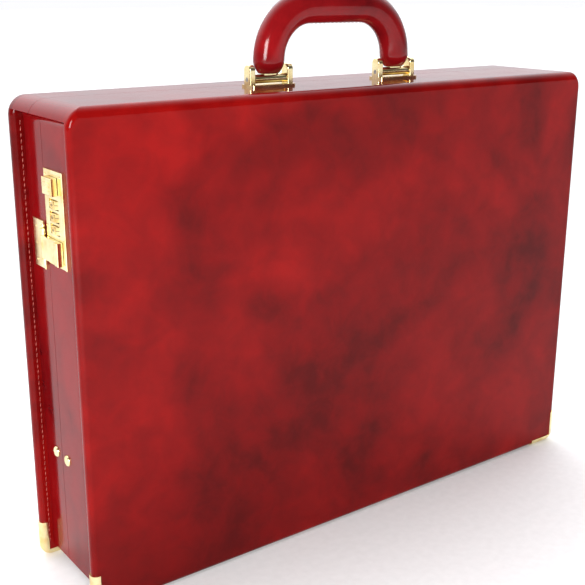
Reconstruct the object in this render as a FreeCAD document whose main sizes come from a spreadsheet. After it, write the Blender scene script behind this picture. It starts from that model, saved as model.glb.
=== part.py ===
"""Hard-sided leather briefcase that stands on its hinge side.

X runs along the length, Y from the front panel towards the lid, Z up.  The origin is the centre of
the footprint, on the plane that the metal corners stand on.  All sizes are in millimetres.
"""
import FreeCAD, Part
import os

DOC = FreeCAD.newDocument("Briefcase")
SHEET = DOC.addObject("Spreadsheet::Sheet", "Sizes")

SIZES = {
    # overall outline of the two face panels
    "case_length": 450.0,
    "case_height": 326.0,
    "base_depth": 57.5,
    "lid_depth": 34.5,
    "seam_gap": 0.4,
    # face panels
    "panel_thick": 8.0,
    "panel_edge": 3.6,
    "top_roll": 6.4,
    "top_corner": 13.0,
    "foot_corner": 7.5,
    # walls between the panels
    "side_recess": 8.0,
    "foot_recess": 8.5,
    "cap_drop": 8.5,
    "cove": 6.5,
    "leather": 1.2,
    "base_wall": 7.0,
    "lid_wall": 6.4,
    "rim_play": 0.6,
    "lining": 1.0,
    "rim_thick": 1.2,
    "rim_reach": 3.5,
    "rim_seat": 4.4,
    # metal corners
    "corner_metal": 0.8,
    "corner_arm": 27.0,
    "corner_flange": 4.5,
    # hinge under the floor of the case
    "hinge_inset": 17.0,
    "hinge_leaf": 14.0,
    "hinge_metal": 1.0,
    "knuckle_radius": 2.2,
    "knuckle_gap": 0.3,
    "hinge_pin_radius": 1.1,
    "screw_radius": 1.5,
    "screw_head": 2.6,
    "screw_thick": 0.8,
    # handle and its brackets
    "handle_line": -4.0,
    "bracket_centre": 57.0,
    "bracket_length": 36.0,
    "bracket_width": 15.0,
    "bracket_metal": 1.6,
    "ear_thick": 4.6,
    "ear_width": 8.0,
    "ear_height": 15.0,
    "pivot_height": 5.2,
    "handle_pin_radius": 1.5,
    "eye_radius": 3.1,
    "eye_play": 0.4,
    "grip_width": 23.0,
    "grip_thick": 19.0,
    "grip_foot_width": 16.0,
    "grip_foot_thick": 9.0,
    "grip_foot_height": 8.6,
    "grip_full_height": 17.0,
    "grip_bend": 35.0,
    "grip_height": 64.0,
    "core_width": 10.0,
    "core_thick": 6.0,
    # combination locks in the side walls
    "lock_drop": 72.2,
    "plate_length": 61.0,
    "plate_width": 27.0,
    "plate_metal": 1.6,
    "plate_edge": 3.0,
    "lock_box_gap": 1.7,
    "lock_box_margin": 1.8,
    "lock_box_metal": 1.0,
    "lock_fit": 0.3,
    "dial_radius": 7.2,
    "dial_thick": 5.6,
    "dial_pitch": 8.0,
    "dial_rise": 1.4,
    "dial_proud": 1.5,
    "dial_play": 0.4,
    "window_trim": 1.0,
    "shaft_radius": 1.5,
    "running_fit": 0.05,
    "button_width": 13.5,
    "button_length": 11.0,
    "button_proud": 4.4,
    "button_rise": 21.2,
    "button_travel": 2.5,
    "stem_width": 5.0,
    "stem_length": 5.0,
    "foot_metal": 1.2,
    "spring_radius": 1.5,
    "spring_bore": 0.9,
    # hasps
    "hasp_drop": 20.4,
    "hasp_plate_length": 32.0,
    "hasp_plate_width": 16.0,
    "hasp_line": 0.5,
    "hasp_knuckle": 2.1,
    "hasp_pin_radius": 0.9,
    "flap_width": 15.0,
    "flap_reach": 27.0,
    "flap_metal": 2.0,
    "lug_width": 5.0,
    "lug_proud": 2.0,
    "hook_depth": 1.2,
    "hook_length": 5.0,
    "hook_width": 6.0,
    "hook_swing": 2.4,
    # stays that stop the lid
    "stay_height": 88.0,
    "stay_offset": 8.8,
    "stay_metal": 1.5,
    "stay_width": 8.0,
    "stay_play": 0.5,
    "rivet_radius": 1.6,
    "rivet_head": 3.9,
    "rivet_dome": 1.3,
    # organiser in the lid
    "organiser_inset": 14.0,
    "organiser_board": 2.0,
    "pocket_thick": 3.0,
    "pocket_height": 150.0,
    "card_gap": 10.0,
    "card_headroom": 45.5,
    "card_margin": 16.0,
    "pocket_seam": 3.0,
    "backplate_metal": 2.0,
}


def fill_sheet():
    """Write every driving size into the sheet, one named cell to a row."""
    for row, (alias, value) in enumerate(SIZES.items(), start=1):
        SHEET.set(f"A{row}", alias)
        SHEET.set(f"B{row}", str(value))
        SHEET.setAlias(f"B{row}", alias)
    DOC.recompute()


def size(alias):
    """Return a size as a number, read back from the sheet."""
    return float(SHEET.get(alias))


def cell(alias):
    """Return the expression that names a sheet cell."""
    return f"Sizes.{alias}"


def add(*terms):
    """Return the expression of a sum."""
    return "(" + " + ".join(str(term) for term in terms) + ")"


def sub(first, *others):
    """Return the expression of a difference."""
    return "(" + " - ".join([str(first)] + [str(other) for other in others]) + ")"


def times(first, second):
    """Return the expression of a product."""
    return f"({first} * {second})"


def half(term):
    """Return the expression of one half."""
    return f"({term} / 2)"


fill_sheet()

# ---------------------------------------------------------------- shared places, as expressions
HALF_LENGTH = half(cell("case_length"))
FOOT = cell("corner_metal")
TOP = add(FOOT, cell("case_height"))
FRONT = times(-0.5, add(cell("base_depth"), cell("lid_depth")))
BACK = times(0.5, add(cell("base_depth"), cell("lid_depth")))
SEAM = add(FRONT, cell("base_depth"))
BASE_EDGE = sub(SEAM, half(cell("seam_gap")))
LID_EDGE = add(SEAM, half(cell("seam_gap")))
WALL_X = sub(HALF_LENGTH, cell("side_recess"))
WALL_FOOT = add(FOOT, cell("foot_recess"))
HINGE_Z = sub(WALL_FOOT, cell("knuckle_radius"), cell("knuckle_gap"))
BASE_BACK = add(FRONT, cell("panel_thick"))
LID_BACK = sub(BACK, cell("panel_thick"))
PIVOT_Z = add(TOP, cell("pivot_height"))
HINGE_LENGTH = times(2, sub(WALL_X, cell("hinge_inset")))
LOCK_Z = sub(TOP, cell("lock_drop"))
BASE_WALL = cell("base_wall")
LID_WALL = cell("lid_wall")
TONGUE_DEPTH = add(LID_WALL, cell("rim_play"))
RIM_INNER = add(f"max({BASE_WALL}; {TONGUE_DEPTH})", cell("rim_thick"))

MIRROR = {"left": -1, "right": 1}


# ---------------------------------------------------------------- small modelling helpers
def place(item, axis_name, expression):
    """Bind one coordinate of an object's placement."""
    item.setExpression(f"Placement.Base.{axis_name}", expression)


def block(name, x_span, y_span, z_span):
    """Make a box from three (low, high) pairs of expressions."""
    item = DOC.addObject("Part::Box", name)
    for prop, axis_name, (low, high) in zip(("Length", "Width", "Height"), "xyz", (x_span, y_span, z_span)):
        item.setExpression(prop, sub(high, low))
        place(item, axis_name, low)
    return item


def span(centre, width):
    """Return the (low, high) pair about a centre."""
    return sub(centre, half(width)), add(centre, half(width))


def side_span(sign, inner, outer):
    """Return the (low, high) pair along X between two distances from the middle, on one side."""
    if sign > 0:
        return str(inner), str(outer)
    return times(-1, outer), times(-1, inner)


def rod(name, direction, start, length, radius):
    """Make a cylinder along X, Y or Z that starts at three expressions."""
    item = DOC.addObject("Part::Cylinder", name)
    item.setExpression("Height", length)
    item.setExpression("Radius", radius)
    turns = {
        "x": FreeCAD.Rotation(FreeCAD.Vector(0, 1, 0), 90),
        "y": FreeCAD.Rotation(FreeCAD.Vector(1, 0, 0), -90),
        "z": FreeCAD.Rotation(),
    }
    item.Placement = FreeCAD.Placement(FreeCAD.Vector(), turns[direction])
    for axis_name, expression in zip("xyz", start):
        place(item, axis_name, expression)
    return item


def fuse(name, items):
    """Join several objects into one solid."""
    item = DOC.addObject("Part::MultiFuse", name)
    item.Shapes = items
    item.Refine = True
    return item


def cut(name, base, tools):
    """Cut one or more tools out of a base."""
    tool = tools[0] if len(tools) == 1 else fuse(name + "_tools", tools)
    item = DOC.addObject("Part::Cut", name)
    item.Base = base
    item.Tool = tool
    item.Refine = True
    return item


def common(name, items):
    """Keep what several objects share."""
    item = DOC.addObject("Part::MultiCommon", name)
    item.Shapes = items
    item.Refine = True
    return item


def fillet(name, base, radius, wanted):
    """Round the edges of a base that a test accepts."""
    DOC.recompute()
    item = DOC.addObject("Part::Fillet", name)
    item.Base = base
    item.Edges = [(i + 1, radius, radius) for i, edge in enumerate(base.Shape.Edges) if wanted(edge)]
    return item


def group(name, items):
    """Keep separate solids together in one node."""
    item = DOC.addObject("Part::Compound", name)
    item.Links = items
    return item


def runs_along(edge, direction):
    """Tell whether an edge is straight and runs along a direction."""
    if not isinstance(edge.Curve, Part.Line):
        return False
    return abs(edge.Curve.Direction.dot(direction)) > 0.999


def value(expression):
    """Work out an expression of sheet cells as a number."""
    return float(SHEET.evalExpression(expression))


X_AXIS = FreeCAD.Vector(1, 0, 0)
Y_AXIS = FreeCAD.Vector(0, 1, 0)
Z_AXIS = FreeCAD.Vector(0, 0, 1)
NEAR = 0.01


# ---------------------------------------------------------------- outlines
def outline_prism(name, y_span, inset):
    """Make the rounded outline of a face panel, set in by a distance, between two Y planes."""
    box = block(
        name + "_box",
        span("0", sub(cell("case_length"), times(2, inset))),
        y_span,
        (add(FOOT, inset), sub(TOP, inset)),
    )
    middle = value(half(TOP))
    by_top = fillet(name + "_top", box, size("top_corner") - inset,
                    lambda e: runs_along(e, Y_AXIS) and e.CenterOfMass.z > middle)
    return fillet(name, by_top, size("foot_corner") - inset,
                  lambda e: runs_along(e, Y_AXIS) and e.CenterOfMass.z < middle)


def panel_slab(name, y_span, outer_low, inset):
    """Make a face panel with soft edges.

    The rims of both faces are rounded, and the outer one rolls over more softly along the top.  At
    the top the rim of the inner face is filled up again, because there it meets the wall flush.
    """
    prism = outline_prism(name + "_prism", y_span, inset)
    low, high = value(y_span[0]), value(y_span[1])
    outer, inner = (low, high) if outer_low else (high, low)

    def on_rim(edge, face):
        return abs(edge.BoundBox.YLength) < NEAR and abs(edge.CenterOfMass.y - face) < NEAR

    radius = min(size("panel_edge"), 0.46 * size("panel_thick")) - inset
    faces = fillet(name + "_outer", prism, radius, lambda edge: on_rim(edge, outer))
    rims = fillet(name + "_rims", faces, radius, lambda edge: on_rim(edge, inner))
    face, depth = y_span[1 if outer_low else 0], half(cell("panel_thick"))
    fill_y = (sub(face, depth), face) if outer_low else (face, add(face, depth))
    fill_box = block(name + "_fill_box", span("0", cell("case_length")), fill_y,
                     (add(sub(TOP, cell("cap_drop")), inset), TOP))
    fill = common(name + "_fill", [outline_prism(name + "_fill_outline", fill_y, inset), fill_box])
    whole = fuse(name + "_whole", [rims, fill])
    return common(name, [whole, rolled_top(name + "_roll", y_span, outer_low, inset)])


def rolled_top(name, y_span, outer_low, inset):
    """Make a long box whose top outer edge is the panel's soft roll."""
    low, high = y_span
    box = block(
        name + "_box",
        span("0", add(cell("case_length"), 20)),
        (low, add(high, 10)) if outer_low else (sub(low, 10), high),
        ("-20", sub(TOP, inset)),
    )
    outer = value(low if outer_low else high)
    top = value(TOP) - inset
    radius = min(size("top_roll"), size("panel_thick") - size("leather")) - inset
    return fillet(name, box, radius, lambda e: runs_along(e, X_AXIS) and abs(e.CenterOfMass.y - outer) < NEAR
                  and abs(e.CenterOfMass.z - top) < NEAR)


def wall_body(name, y_span, inset):
    """Make the solid that the walls are cut from.

    The sides and the foot stand back from the panels' outline.  The top is flush with it and runs
    over the sides as a cap, with a cove under each end.
    """
    core = block(
        name + "_core",
        span("0", times(2, sub(WALL_X, inset))),
        y_span,
        (add(WALL_FOOT, inset), sub(TOP, inset)),
    )
    cap = block(
        name + "_cap",
        span("0", sub(cell("case_length"), times(2, inset))),
        y_span,
        (add(sub(TOP, cell("cap_drop")), inset), sub(TOP, inset)),
    )
    both = fuse(name + "_both", [core, cap])
    wall_x = value(WALL_X) - inset
    cap_z = value(sub(TOP, cell("cap_drop"))) + inset

    def in_cove(edge):
        centre = edge.CenterOfMass
        return runs_along(edge, Y_AXIS) and abs(abs(centre.x) - wall_x) < NEAR and abs(centre.z - cap_z) < NEAR

    coved = fillet(name + "_coved", both, size("cove") + inset, in_cove)
    return common(name, [coved, outline_prism(name + "_outline", y_span, inset)])


def inside(name, y_span, wall, extra="0"):
    """Make the hollow inside walls of a thickness, given as an expression."""
    depth = add(wall, extra)
    return block(
        name,
        span("0", times(2, sub(WALL_X, depth))),
        y_span,
        (add(WALL_FOOT, depth), sub(TOP, depth)),
    )


# ---------------------------------------------------------------- the two shells
def shell(name, outer_low):
    """Make one half of the case: board, leather, walls and lining.

    outer_low is true for the base, whose panel faces -Y, and false for the lid.
    """
    leather = cell("leather")
    if outer_low:
        panel_y = (FRONT, BASE_BACK)
        board_y = (add(FRONT, leather), sub(BASE_BACK, leather))
        wood_y = (sub(BASE_BACK, leather), BASE_EDGE)
        skin_y = (BASE_BACK, BASE_EDGE)
        floor_y = (sub(BASE_BACK, leather), add(sub(BASE_BACK, leather), cell("lining")))
        lining_y = (sub(BASE_BACK, leather), sub(SEAM, cell("rim_seat")))
    else:
        panel_y = (LID_BACK, BACK)
        board_y = (add(LID_BACK, leather), sub(BACK, leather))
        wood_y = (LID_EDGE, add(LID_BACK, leather))
        skin_y = (LID_EDGE, LID_BACK)
        floor_y = (sub(add(LID_BACK, leather), cell("lining")), add(LID_BACK, leather))
        lining_y = (add(SEAM, cell("rim_reach"), 1), add(LID_BACK, leather))
    wall = BASE_WALL if outer_low else LID_WALL
    inset = size("leather")

    board = panel_slab(name + "_panel_board", board_y, outer_low, inset)
    wrap = panel_slab(name + "_panel_wrap", panel_y, outer_low, 0)
    wood = wall_body(name + "_wood", wood_y, inset)
    panel_leather = cut(name + "_panel_leather", wrap, [board, wood])
    skin = wall_body(name + "_skin", skin_y, 0)
    frame_hollow = inside(name + "_frame_hollow", wood_y, wall)
    skin_hollow = wall_body(name + "_skin_hollow", skin_y, inset)
    side_tools, skin_tools = lock_cutters(name) if outer_low else ([], [])
    pins = rivet_holes(name, outer_low)
    frame = cut(name + "_frame", wood, [frame_hollow] + side_tools + pins[0])
    wall_leather = cut(name + "_wall_leather", skin, [skin_hollow] + skin_tools + pins[1])

    lining_outer = inside(name + "_lining_outer", lining_y, wall)
    lining_inner = inside(name + "_lining_inner", lining_y, wall, cell("lining"))
    lining_ring = cut(name + "_lining_ring", lining_outer, [lining_inner])
    lining_floor = inside(name + "_lining_floor", floor_y, wall)
    tools = lining_cutters(name) if outer_low else []
    whole = fuse(name + "_lining_whole", [lining_ring, lining_floor])
    lining = cut(name + "_lining", whole, tools + pins[2])
    return [board, panel_leather, frame, wall_leather, lining]


def rivet_holes(name, outer_low):
    """Return the stay rivets' holes through the frame, the leather and the lining of a shell."""
    line = stay_line(outer_low)
    sets = []
    for layer, margin in (("frame", 0), ("skin", 0), ("lining", 1.1)):
        sets.append([
            rod(f"{name}_{layer}_rivet_hole_{side}", "x",
                (side_start(sign, sub(WALL_X, 12), 14), line, cell("stay_height")), "14",
                add(cell("rivet_radius"), margin))
            for side, sign in MIRROR.items()
        ])
    return sets


def side_start(sign, inner, length):
    """Return where a rod along X starts, so that it runs outwards from inner on one side."""
    return str(inner) if sign > 0 else times(-1, add(inner, length))


def stay_line(outer_low):
    """Return the Y of the stay pivots of the base or of the lid."""
    return sub(SEAM, cell("stay_offset")) if outer_low else add(SEAM, cell("stay_offset"))


# ---------------------------------------------------------------- rim strip and metal corners
def rim_strip():
    """Make the tongue round the base's rim that lines the lid up.

    Its seat lies on the base's wall, and its tongue stands clear of the lid's wall by a named play.
    """
    rings = []
    for part, depth, y_span in (
        ("seat", BASE_WALL, (sub(SEAM, cell("rim_seat")), BASE_EDGE)),
        ("tongue", TONGUE_DEPTH, (BASE_EDGE, add(SEAM, cell("rim_reach")))),
    ):
        outer = inside(f"rim_{part}_outer", y_span, depth)
        inner = inside(f"rim_{part}_inner", y_span, RIM_INNER)
        rings.append(cut(f"rim_{part}", outer, [inner]))
    return fuse("base_rim_strip", rings)


def metal_corner(name, side, outer_low):
    """Make one folded metal corner that caps a bottom corner of a face panel."""
    sign = MIRROR[side]
    metal = cell("corner_metal")
    low, high = (FRONT, BASE_BACK) if outer_low else (LID_BACK, BACK)
    outer = panel_slab(name + "_outer", (sub(low, metal), add(high, metal)), outer_low, -size("corner_metal"))
    core = panel_slab(name + "_core", (low, high), outer_low, 0)
    y_span = (sub(low, metal), add(high, metal))
    edge = add(HALF_LENGTH, metal)
    upright = block(name + "_upright", side_span(sign, sub(HALF_LENGTH, cell("corner_flange")), edge), y_span,
                    ("0", cell("corner_arm")))
    level = block(name + "_level", side_span(sign, sub(HALF_LENGTH, cell("corner_arm")), edge), y_span,
                  ("0", add(FOOT, cell("corner_flange"))))
    band = common(name + "_band", [outer, fuse(name + "_ell", [upright, level])])
    return cut(name, band, [core])


# ---------------------------------------------------------------- hinge
KNUCKLES = 20


def hinge_leaf(name, towards_lid):
    """Make one leaf of the long hinge with its share of the knuckles."""
    pitch = f"({HINGE_LENGTH} / {KNUCKLES})"
    outer = cell("knuckle_radius")
    clear = add(outer, 0.4)
    z_span = (sub(WALL_FOOT, cell("hinge_metal")), WALL_FOOT)
    if towards_lid:
        plate_y = (add(SEAM, clear), add(SEAM, cell("hinge_leaf")))
        web_y = (SEAM, add(SEAM, clear))
    else:
        plate_y = (sub(SEAM, cell("hinge_leaf")), sub(SEAM, clear))
        web_y = (sub(SEAM, clear), SEAM)
    plate = block(name + "_plate", span("0", HINGE_LENGTH), plate_y, z_span)
    pieces = [plate]
    for number in range(int(towards_lid), KNUCKLES, 2):
        low = add(times(-0.5, HINGE_LENGTH), times(number, pitch), half(cell("knuckle_gap")))
        length = sub(pitch, cell("knuckle_gap"))
        pieces.append(rod(f"{name}_knuckle_{number}", "x", (low, SEAM, HINGE_Z), length, outer))
        pieces.append(block(f"{name}_web_{number}", (low, add(low, length)), web_y, z_span))
    bore = rod(name + "_bore", "x", (times(-0.5, HINGE_LENGTH), SEAM, HINGE_Z), HINGE_LENGTH,
               add(cell("hinge_pin_radius"), cell("running_fit") if towards_lid else "0"))
    return cut(name, fuse(name + "_body", pieces), [bore] + screw_shanks(name + "_hole", towards_lid))


def screw_places(towards_lid):
    """Return the X and Y of every screw of a leaf."""
    away = half(add(cell("hinge_leaf"), cell("knuckle_radius")))
    line = add(SEAM, away) if towards_lid else sub(SEAM, away)
    return [(times(f"({number} - 2.5)", f"({HINGE_LENGTH} / 6)"), line) for number in range(6)]


def screw_shanks(name, towards_lid):
    """Make the shanks of a leaf's screws, as far as the leaf is thick."""
    low = sub(WALL_FOOT, cell("hinge_metal"))
    return [rod(f"{name}_{number}", "z", (x_place, line, low), cell("hinge_metal"), cell("screw_radius"))
            for number, (x_place, line) in enumerate(screw_places(towards_lid))]


def hinge_screws(name, towards_lid):
    """Make the row of screws that hold a leaf to the floor of its shell."""
    shanks = screw_shanks(name + "_shank", towards_lid)
    screws = []
    for number, (x_place, line) in enumerate(screw_places(towards_lid)):
        low = sub(WALL_FOOT, cell("hinge_metal"), cell("screw_thick"))
        head = rod(f"{name}_head_{number}", "z", (x_place, line, low), cell("screw_thick"), cell("screw_head"))
        screws.append(fuse(f"{name}_{number}", [head, shanks[number]]))
    return screws


# ---------------------------------------------------------------- handle
def handle_bracket(side):
    """Make the base plate and two ears that carry one end of the handle."""
    sign = MIRROR[side]
    name = "handle_bracket_" + side
    centre = times(sign, cell("bracket_centre"))
    line = cell("handle_line")
    plate = block(name + "_plate", span(centre, cell("bracket_length")), span(line, cell("bracket_width")),
                  (TOP, add(TOP, cell("bracket_metal"))))
    pieces = [fillet(name + "_plate_round", plate, 2.0, lambda e: runs_along(e, Z_AXIS))]
    for number, way in enumerate((-1, 1)):
        middle = add(centre, times(way, half(sub(cell("bracket_length"), cell("ear_thick")))))
        ear = block(f"{name}_ear_{number}", span(middle, cell("ear_thick")), span(line, cell("ear_width")),
                    (TOP, add(TOP, cell("ear_height"))))
        rounded = fillet(f"{name}_ear_round_{number}", ear, size("ear_width") / 2 - 0.2,
                         lambda e: runs_along(e, X_AXIS) and e.CenterOfMass.z > value(PIVOT_Z))
        top_z = value(add(TOP, cell("ear_height")))
        pieces.append(fillet(f"{name}_ear_soft_{number}", rounded, 0.9,
                             lambda e: e.BoundBox.XLength < NEAR and e.BoundBox.ZMax > top_z - 2 * NEAR - 4))
    body = fuse(name + "_body", pieces)
    bore = rod(name + "_bore", "x", (sub(centre, half(cell("bracket_length"))), line, PIVOT_Z),
               cell("bracket_length"), cell("handle_pin_radius"))
    return cut(name, body, [bore])


def handle_pin(side):
    """Make the pin that a handle end turns on."""
    centre = times(MIRROR[side], cell("bracket_centre"))
    return rod("handle_pin_" + side, "x",
               (sub(centre, half(cell("bracket_length"))), cell("handle_line"), PIVOT_Z),
               cell("bracket_length"), cell("handle_pin_radius"))


def handle_eye(side):
    """Make the metal barrel and tang at one end of the handle."""
    name = "handle_eye_" + side
    centre = times(MIRROR[side], cell("bracket_centre"))
    inner = sub(cell("bracket_length"), times(2, cell("ear_thick")), cell("eye_play"))
    barrel = rod(name + "_barrel", "x", (sub(centre, half(inner)), cell("handle_line"), PIVOT_Z), inner,
                 cell("eye_radius"))
    tang = block(name + "_tang", span(centre, cell("core_width")), span(cell("handle_line"), "4"),
                 (PIVOT_Z, add(TOP, cell("grip_foot_height"))))
    bore = rod(name + "_bore", "x", (sub(centre, half(inner)), cell("handle_line"), PIVOT_Z), inner,
               add(cell("handle_pin_radius"), cell("running_fit")))
    return cut(name, fuse(name + "_body", [barrel, tang]), [bore])


def arch_wire(foot):
    """Return the handle's centre line, from one foot height up, over and down again."""
    line = size("handle_line")
    reach = size("bracket_centre")
    top = value(TOP) + size("grip_height") - size("grip_width") / 2
    start = value(TOP) + foot
    bend = size("grip_bend")
    lift = bend * (1 - 2 ** -0.5)

    def point(x, z):
        return FreeCAD.Vector(x, line, z)

    edges = [
        Part.makeLine(point(-reach, start), point(-reach, top - bend)),
        Part.Arc(point(-reach, top - bend), point(-reach + lift, top - lift), point(-reach + bend, top)).toShape(),
        Part.makeLine(point(-reach + bend, top), point(reach - bend, top)),
        Part.Arc(point(reach - bend, top), point(reach - lift, top - lift), point(reach, top - bend)).toShape(),
        Part.makeLine(point(reach, top - bend), point(reach, start)),
    ]
    return Part.Wire(edges)


def oval(x_place, z_place, width, thick):
    """Return a closed oval wire in a level plane."""
    centre = FreeCAD.Vector(x_place, size("handle_line"), z_place)
    return Part.Wire([Part.Ellipse(centre, width / 2, thick / 2).toShape()])


def swept_arch(foot, width, thick):
    """Return a solid of oval section along the handle's centre line."""
    section = oval(-size("bracket_centre"), value(TOP) + foot, width, thick)
    return arch_wire(foot).makePipeShell([section], True, False)


def handle_grip():
    """Make the padded leather grip, which narrows to its two feet."""
    core = swept_arch(size("grip_foot_height"), size("core_width"), size("core_thick"))
    grip = swept_arch(size("grip_full_height"), size("grip_width"), size("grip_thick"))
    for sign in MIRROR.values():
        x_place = sign * size("bracket_centre")
        width, thick = size("grip_width") - 0.6, size("grip_thick") - 0.6
        full_z = value(TOP) + size("grip_full_height")
        foot = Part.makeLoft([
            oval(x_place, value(TOP) + size("grip_foot_height"), size("grip_foot_width"), size("grip_foot_thick")),
            oval(x_place, full_z, width, thick),
            oval(x_place, full_z + 2, width, thick),
        ], True, True)
        grip = grip.fuse(foot)
    item = DOC.addObject("Part::Feature", "handle_grip")
    item.Shape = grip.cut(core)
    inner = DOC.addObject("Part::Feature", "handle_core")
    inner.Shape = core
    return [item, inner]


def handle_backplate():
    """Make the stiffening plate inside the top wall with the ends of the bracket rivets."""
    depth = BASE_WALL
    under = sub(TOP, depth)
    plate = block("backplate_plate", span("0", times(2, add(cell("bracket_centre"), cell("bracket_length")))),
                  span(sub(cell("handle_line"), 6), cell("bracket_width")),
                  (sub(under, cell("lining"), cell("backplate_metal")), sub(under, cell("lining"))))
    return fillet("handle_backplate", plate, 3.0, lambda e: runs_along(e, Z_AXIS))


# ---------------------------------------------------------------- locks
PLATE_Y = sub(SEAM, cell("plate_edge"), half(cell("plate_width")))
PLATE_SPAN_Y = span(PLATE_Y, cell("plate_width"))
PLATE_SPAN_Z = span(LOCK_Z, cell("plate_length"))
PLATE_X = add(WALL_X, cell("plate_metal"))
DIAL_X = sub(add(PLATE_X, cell("dial_proud")), cell("dial_radius"))
DIAL_Z = add(LOCK_Z, cell("dial_rise"))
BUTTON_Z = add(LOCK_Z, cell("button_rise"))
HASP_Z = sub(LOCK_Z, cell("hasp_drop"))
BOX_Y = span(PLATE_Y, sub(cell("plate_width"), times(2, cell("lock_box_margin"))))
BOX_Z = span(LOCK_Z, sub(cell("plate_length"), times(2, cell("lock_box_margin"))))
BOX_X = sub(DIAL_X, cell("dial_radius"), cell("lock_box_gap"), cell("lock_box_metal"))
DIALS = (-1, 0, 1)


def grown(pair, margin):
    """Return a (low, high) pair widened by a margin at both ends."""
    return sub(pair[0], margin), add(pair[1], margin)


def box_hole(name, sign):
    """Make the hole that a lock's box drops into."""
    fit = cell("lock_fit")
    return block(name, side_span(sign, sub(BOX_X, fit), HALF_LENGTH), grown(BOX_Y, fit), grown(BOX_Z, fit))


def lock_cutters(name):
    """Return the holes for both locks through the frame and through the wall leather."""
    frame_tools = [box_hole(f"{name}_frame_lock_{side}", sign) for side, sign in MIRROR.items()]
    skin_tools = [box_hole(f"{name}_skin_lock_{side}", sign) for side, sign in MIRROR.items()]
    return frame_tools, skin_tools


def lining_cutters(name):
    """Return the holes for both locks through the lining."""
    return [box_hole(f"{name}_lining_lock_{side}", sign) for side, sign in MIRROR.items()]


def lock_plate(side):
    """Make the visible brass plate with windows for dials and button and a notch for the hook."""
    sign = MIRROR[side]
    name = "lock_plate_" + side
    through = side_span(sign, sub(WALL_X, 1), add(PLATE_X, 1))
    plate = block(name + "_blank", side_span(sign, WALL_X, PLATE_X), PLATE_SPAN_Y, PLATE_SPAN_Z)
    outer_x = sign * value(PLATE_X)
    softened = fillet(name + "_soft", plate, 0.7,
                      lambda e: abs(e.CenterOfMass.x - outer_x) < NEAR and e.BoundBox.XLength < NEAR)
    tools = []
    for number in DIALS:
        centre = add(DIAL_Z, times(number, cell("dial_pitch")))
        tools.append(block(f"{name}_window_{number + 1}", through, span(PLATE_Y, sub(times(2, cell("dial_radius")), cell("window_trim"))),
                           span(centre, add(cell("dial_thick"), times(2, cell("dial_play"))))))
    tools.append(block(name + "_slot", through, span(PLATE_Y, add(cell("stem_width"), 0.6)),
                       (sub(BUTTON_Z, half(cell("stem_length")), 0.3),
                        add(BUTTON_Z, half(cell("stem_length")), cell("button_travel"), 0.3))))
    hook = hook_span_y()
    tools.append(block(name + "_notch", through, (sub(hook[0], 0.6), add(PLATE_SPAN_Y[1], 1)),
                       (sub(HASP_Z, half(cell("hook_width")), 0.6),
                        add(HASP_Z, half(cell("hook_width")), cell("hook_swing")))))
    return cut(name, softened, tools)


def lock_box(side):
    """Make the pressed steel box behind the plate, with two ribs that carry the dial shaft."""
    sign = MIRROR[side]
    name = "lock_box_" + side
    metal = cell("lock_box_metal")
    outer = block(name + "_outer", side_span(sign, BOX_X, WALL_X), BOX_Y, BOX_Z)
    inner = block(name + "_inner", side_span(sign, add(BOX_X, metal), add(WALL_X, 1)), grown(BOX_Y, times(-1, metal)),
                  grown(BOX_Z, times(-1, metal)))
    pieces = [cut(name + "_tray", outer, [inner])]
    for number, way in enumerate((-1, 1)):
        centre = add(DIAL_Z, times(way, add(times(1.5, cell("dial_pitch")), 0.6)))
        pieces.append(block(f"{name}_rib_{number}", side_span(sign, add(BOX_X, half(metal)), sub(WALL_X, 2)),
                            span(PLATE_Y, "7"), span(centre, "1.2")))
    shaft_hole = rod(name + "_shaft_hole", "z", (times(sign, DIAL_X), PLATE_Y, shaft_low()), shaft_length(),
                     cell("shaft_radius"))
    return cut(name, fuse(name + "_body", pieces), [shaft_hole])


def shaft_low():
    """Return the lower end of a dial shaft."""
    return sub(DIAL_Z, half(shaft_length()))


def shaft_length():
    """Return the length of a dial shaft."""
    return add(times(3, cell("dial_pitch")), 2.4)


def dial_shaft(side):
    """Make the shaft that the three dials of a lock turn on."""
    return rod("dial_shaft_" + side, "z", (times(MIRROR[side], DIAL_X), PLATE_Y, shaft_low()), shaft_length(),
               cell("shaft_radius"))


def dial(side, number):
    """Make one number wheel."""
    name = f"dial_{side}_{number + 2}"
    centre_x = times(MIRROR[side], DIAL_X)
    low = sub(add(DIAL_Z, times(number, cell("dial_pitch"))), half(cell("dial_thick")))
    wheel = rod(name + "_blank", "z", (centre_x, PLATE_Y, low), cell("dial_thick"), cell("dial_radius"))
    soft = fillet(name + "_soft", wheel, 0.5, lambda e: isinstance(e.Curve, Part.Circle))
    bore = rod(name + "_bore", "z", (centre_x, PLATE_Y, low), cell("dial_thick"),
               add(cell("shaft_radius"), cell("running_fit")))
    return cut(name, soft, [bore])


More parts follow.
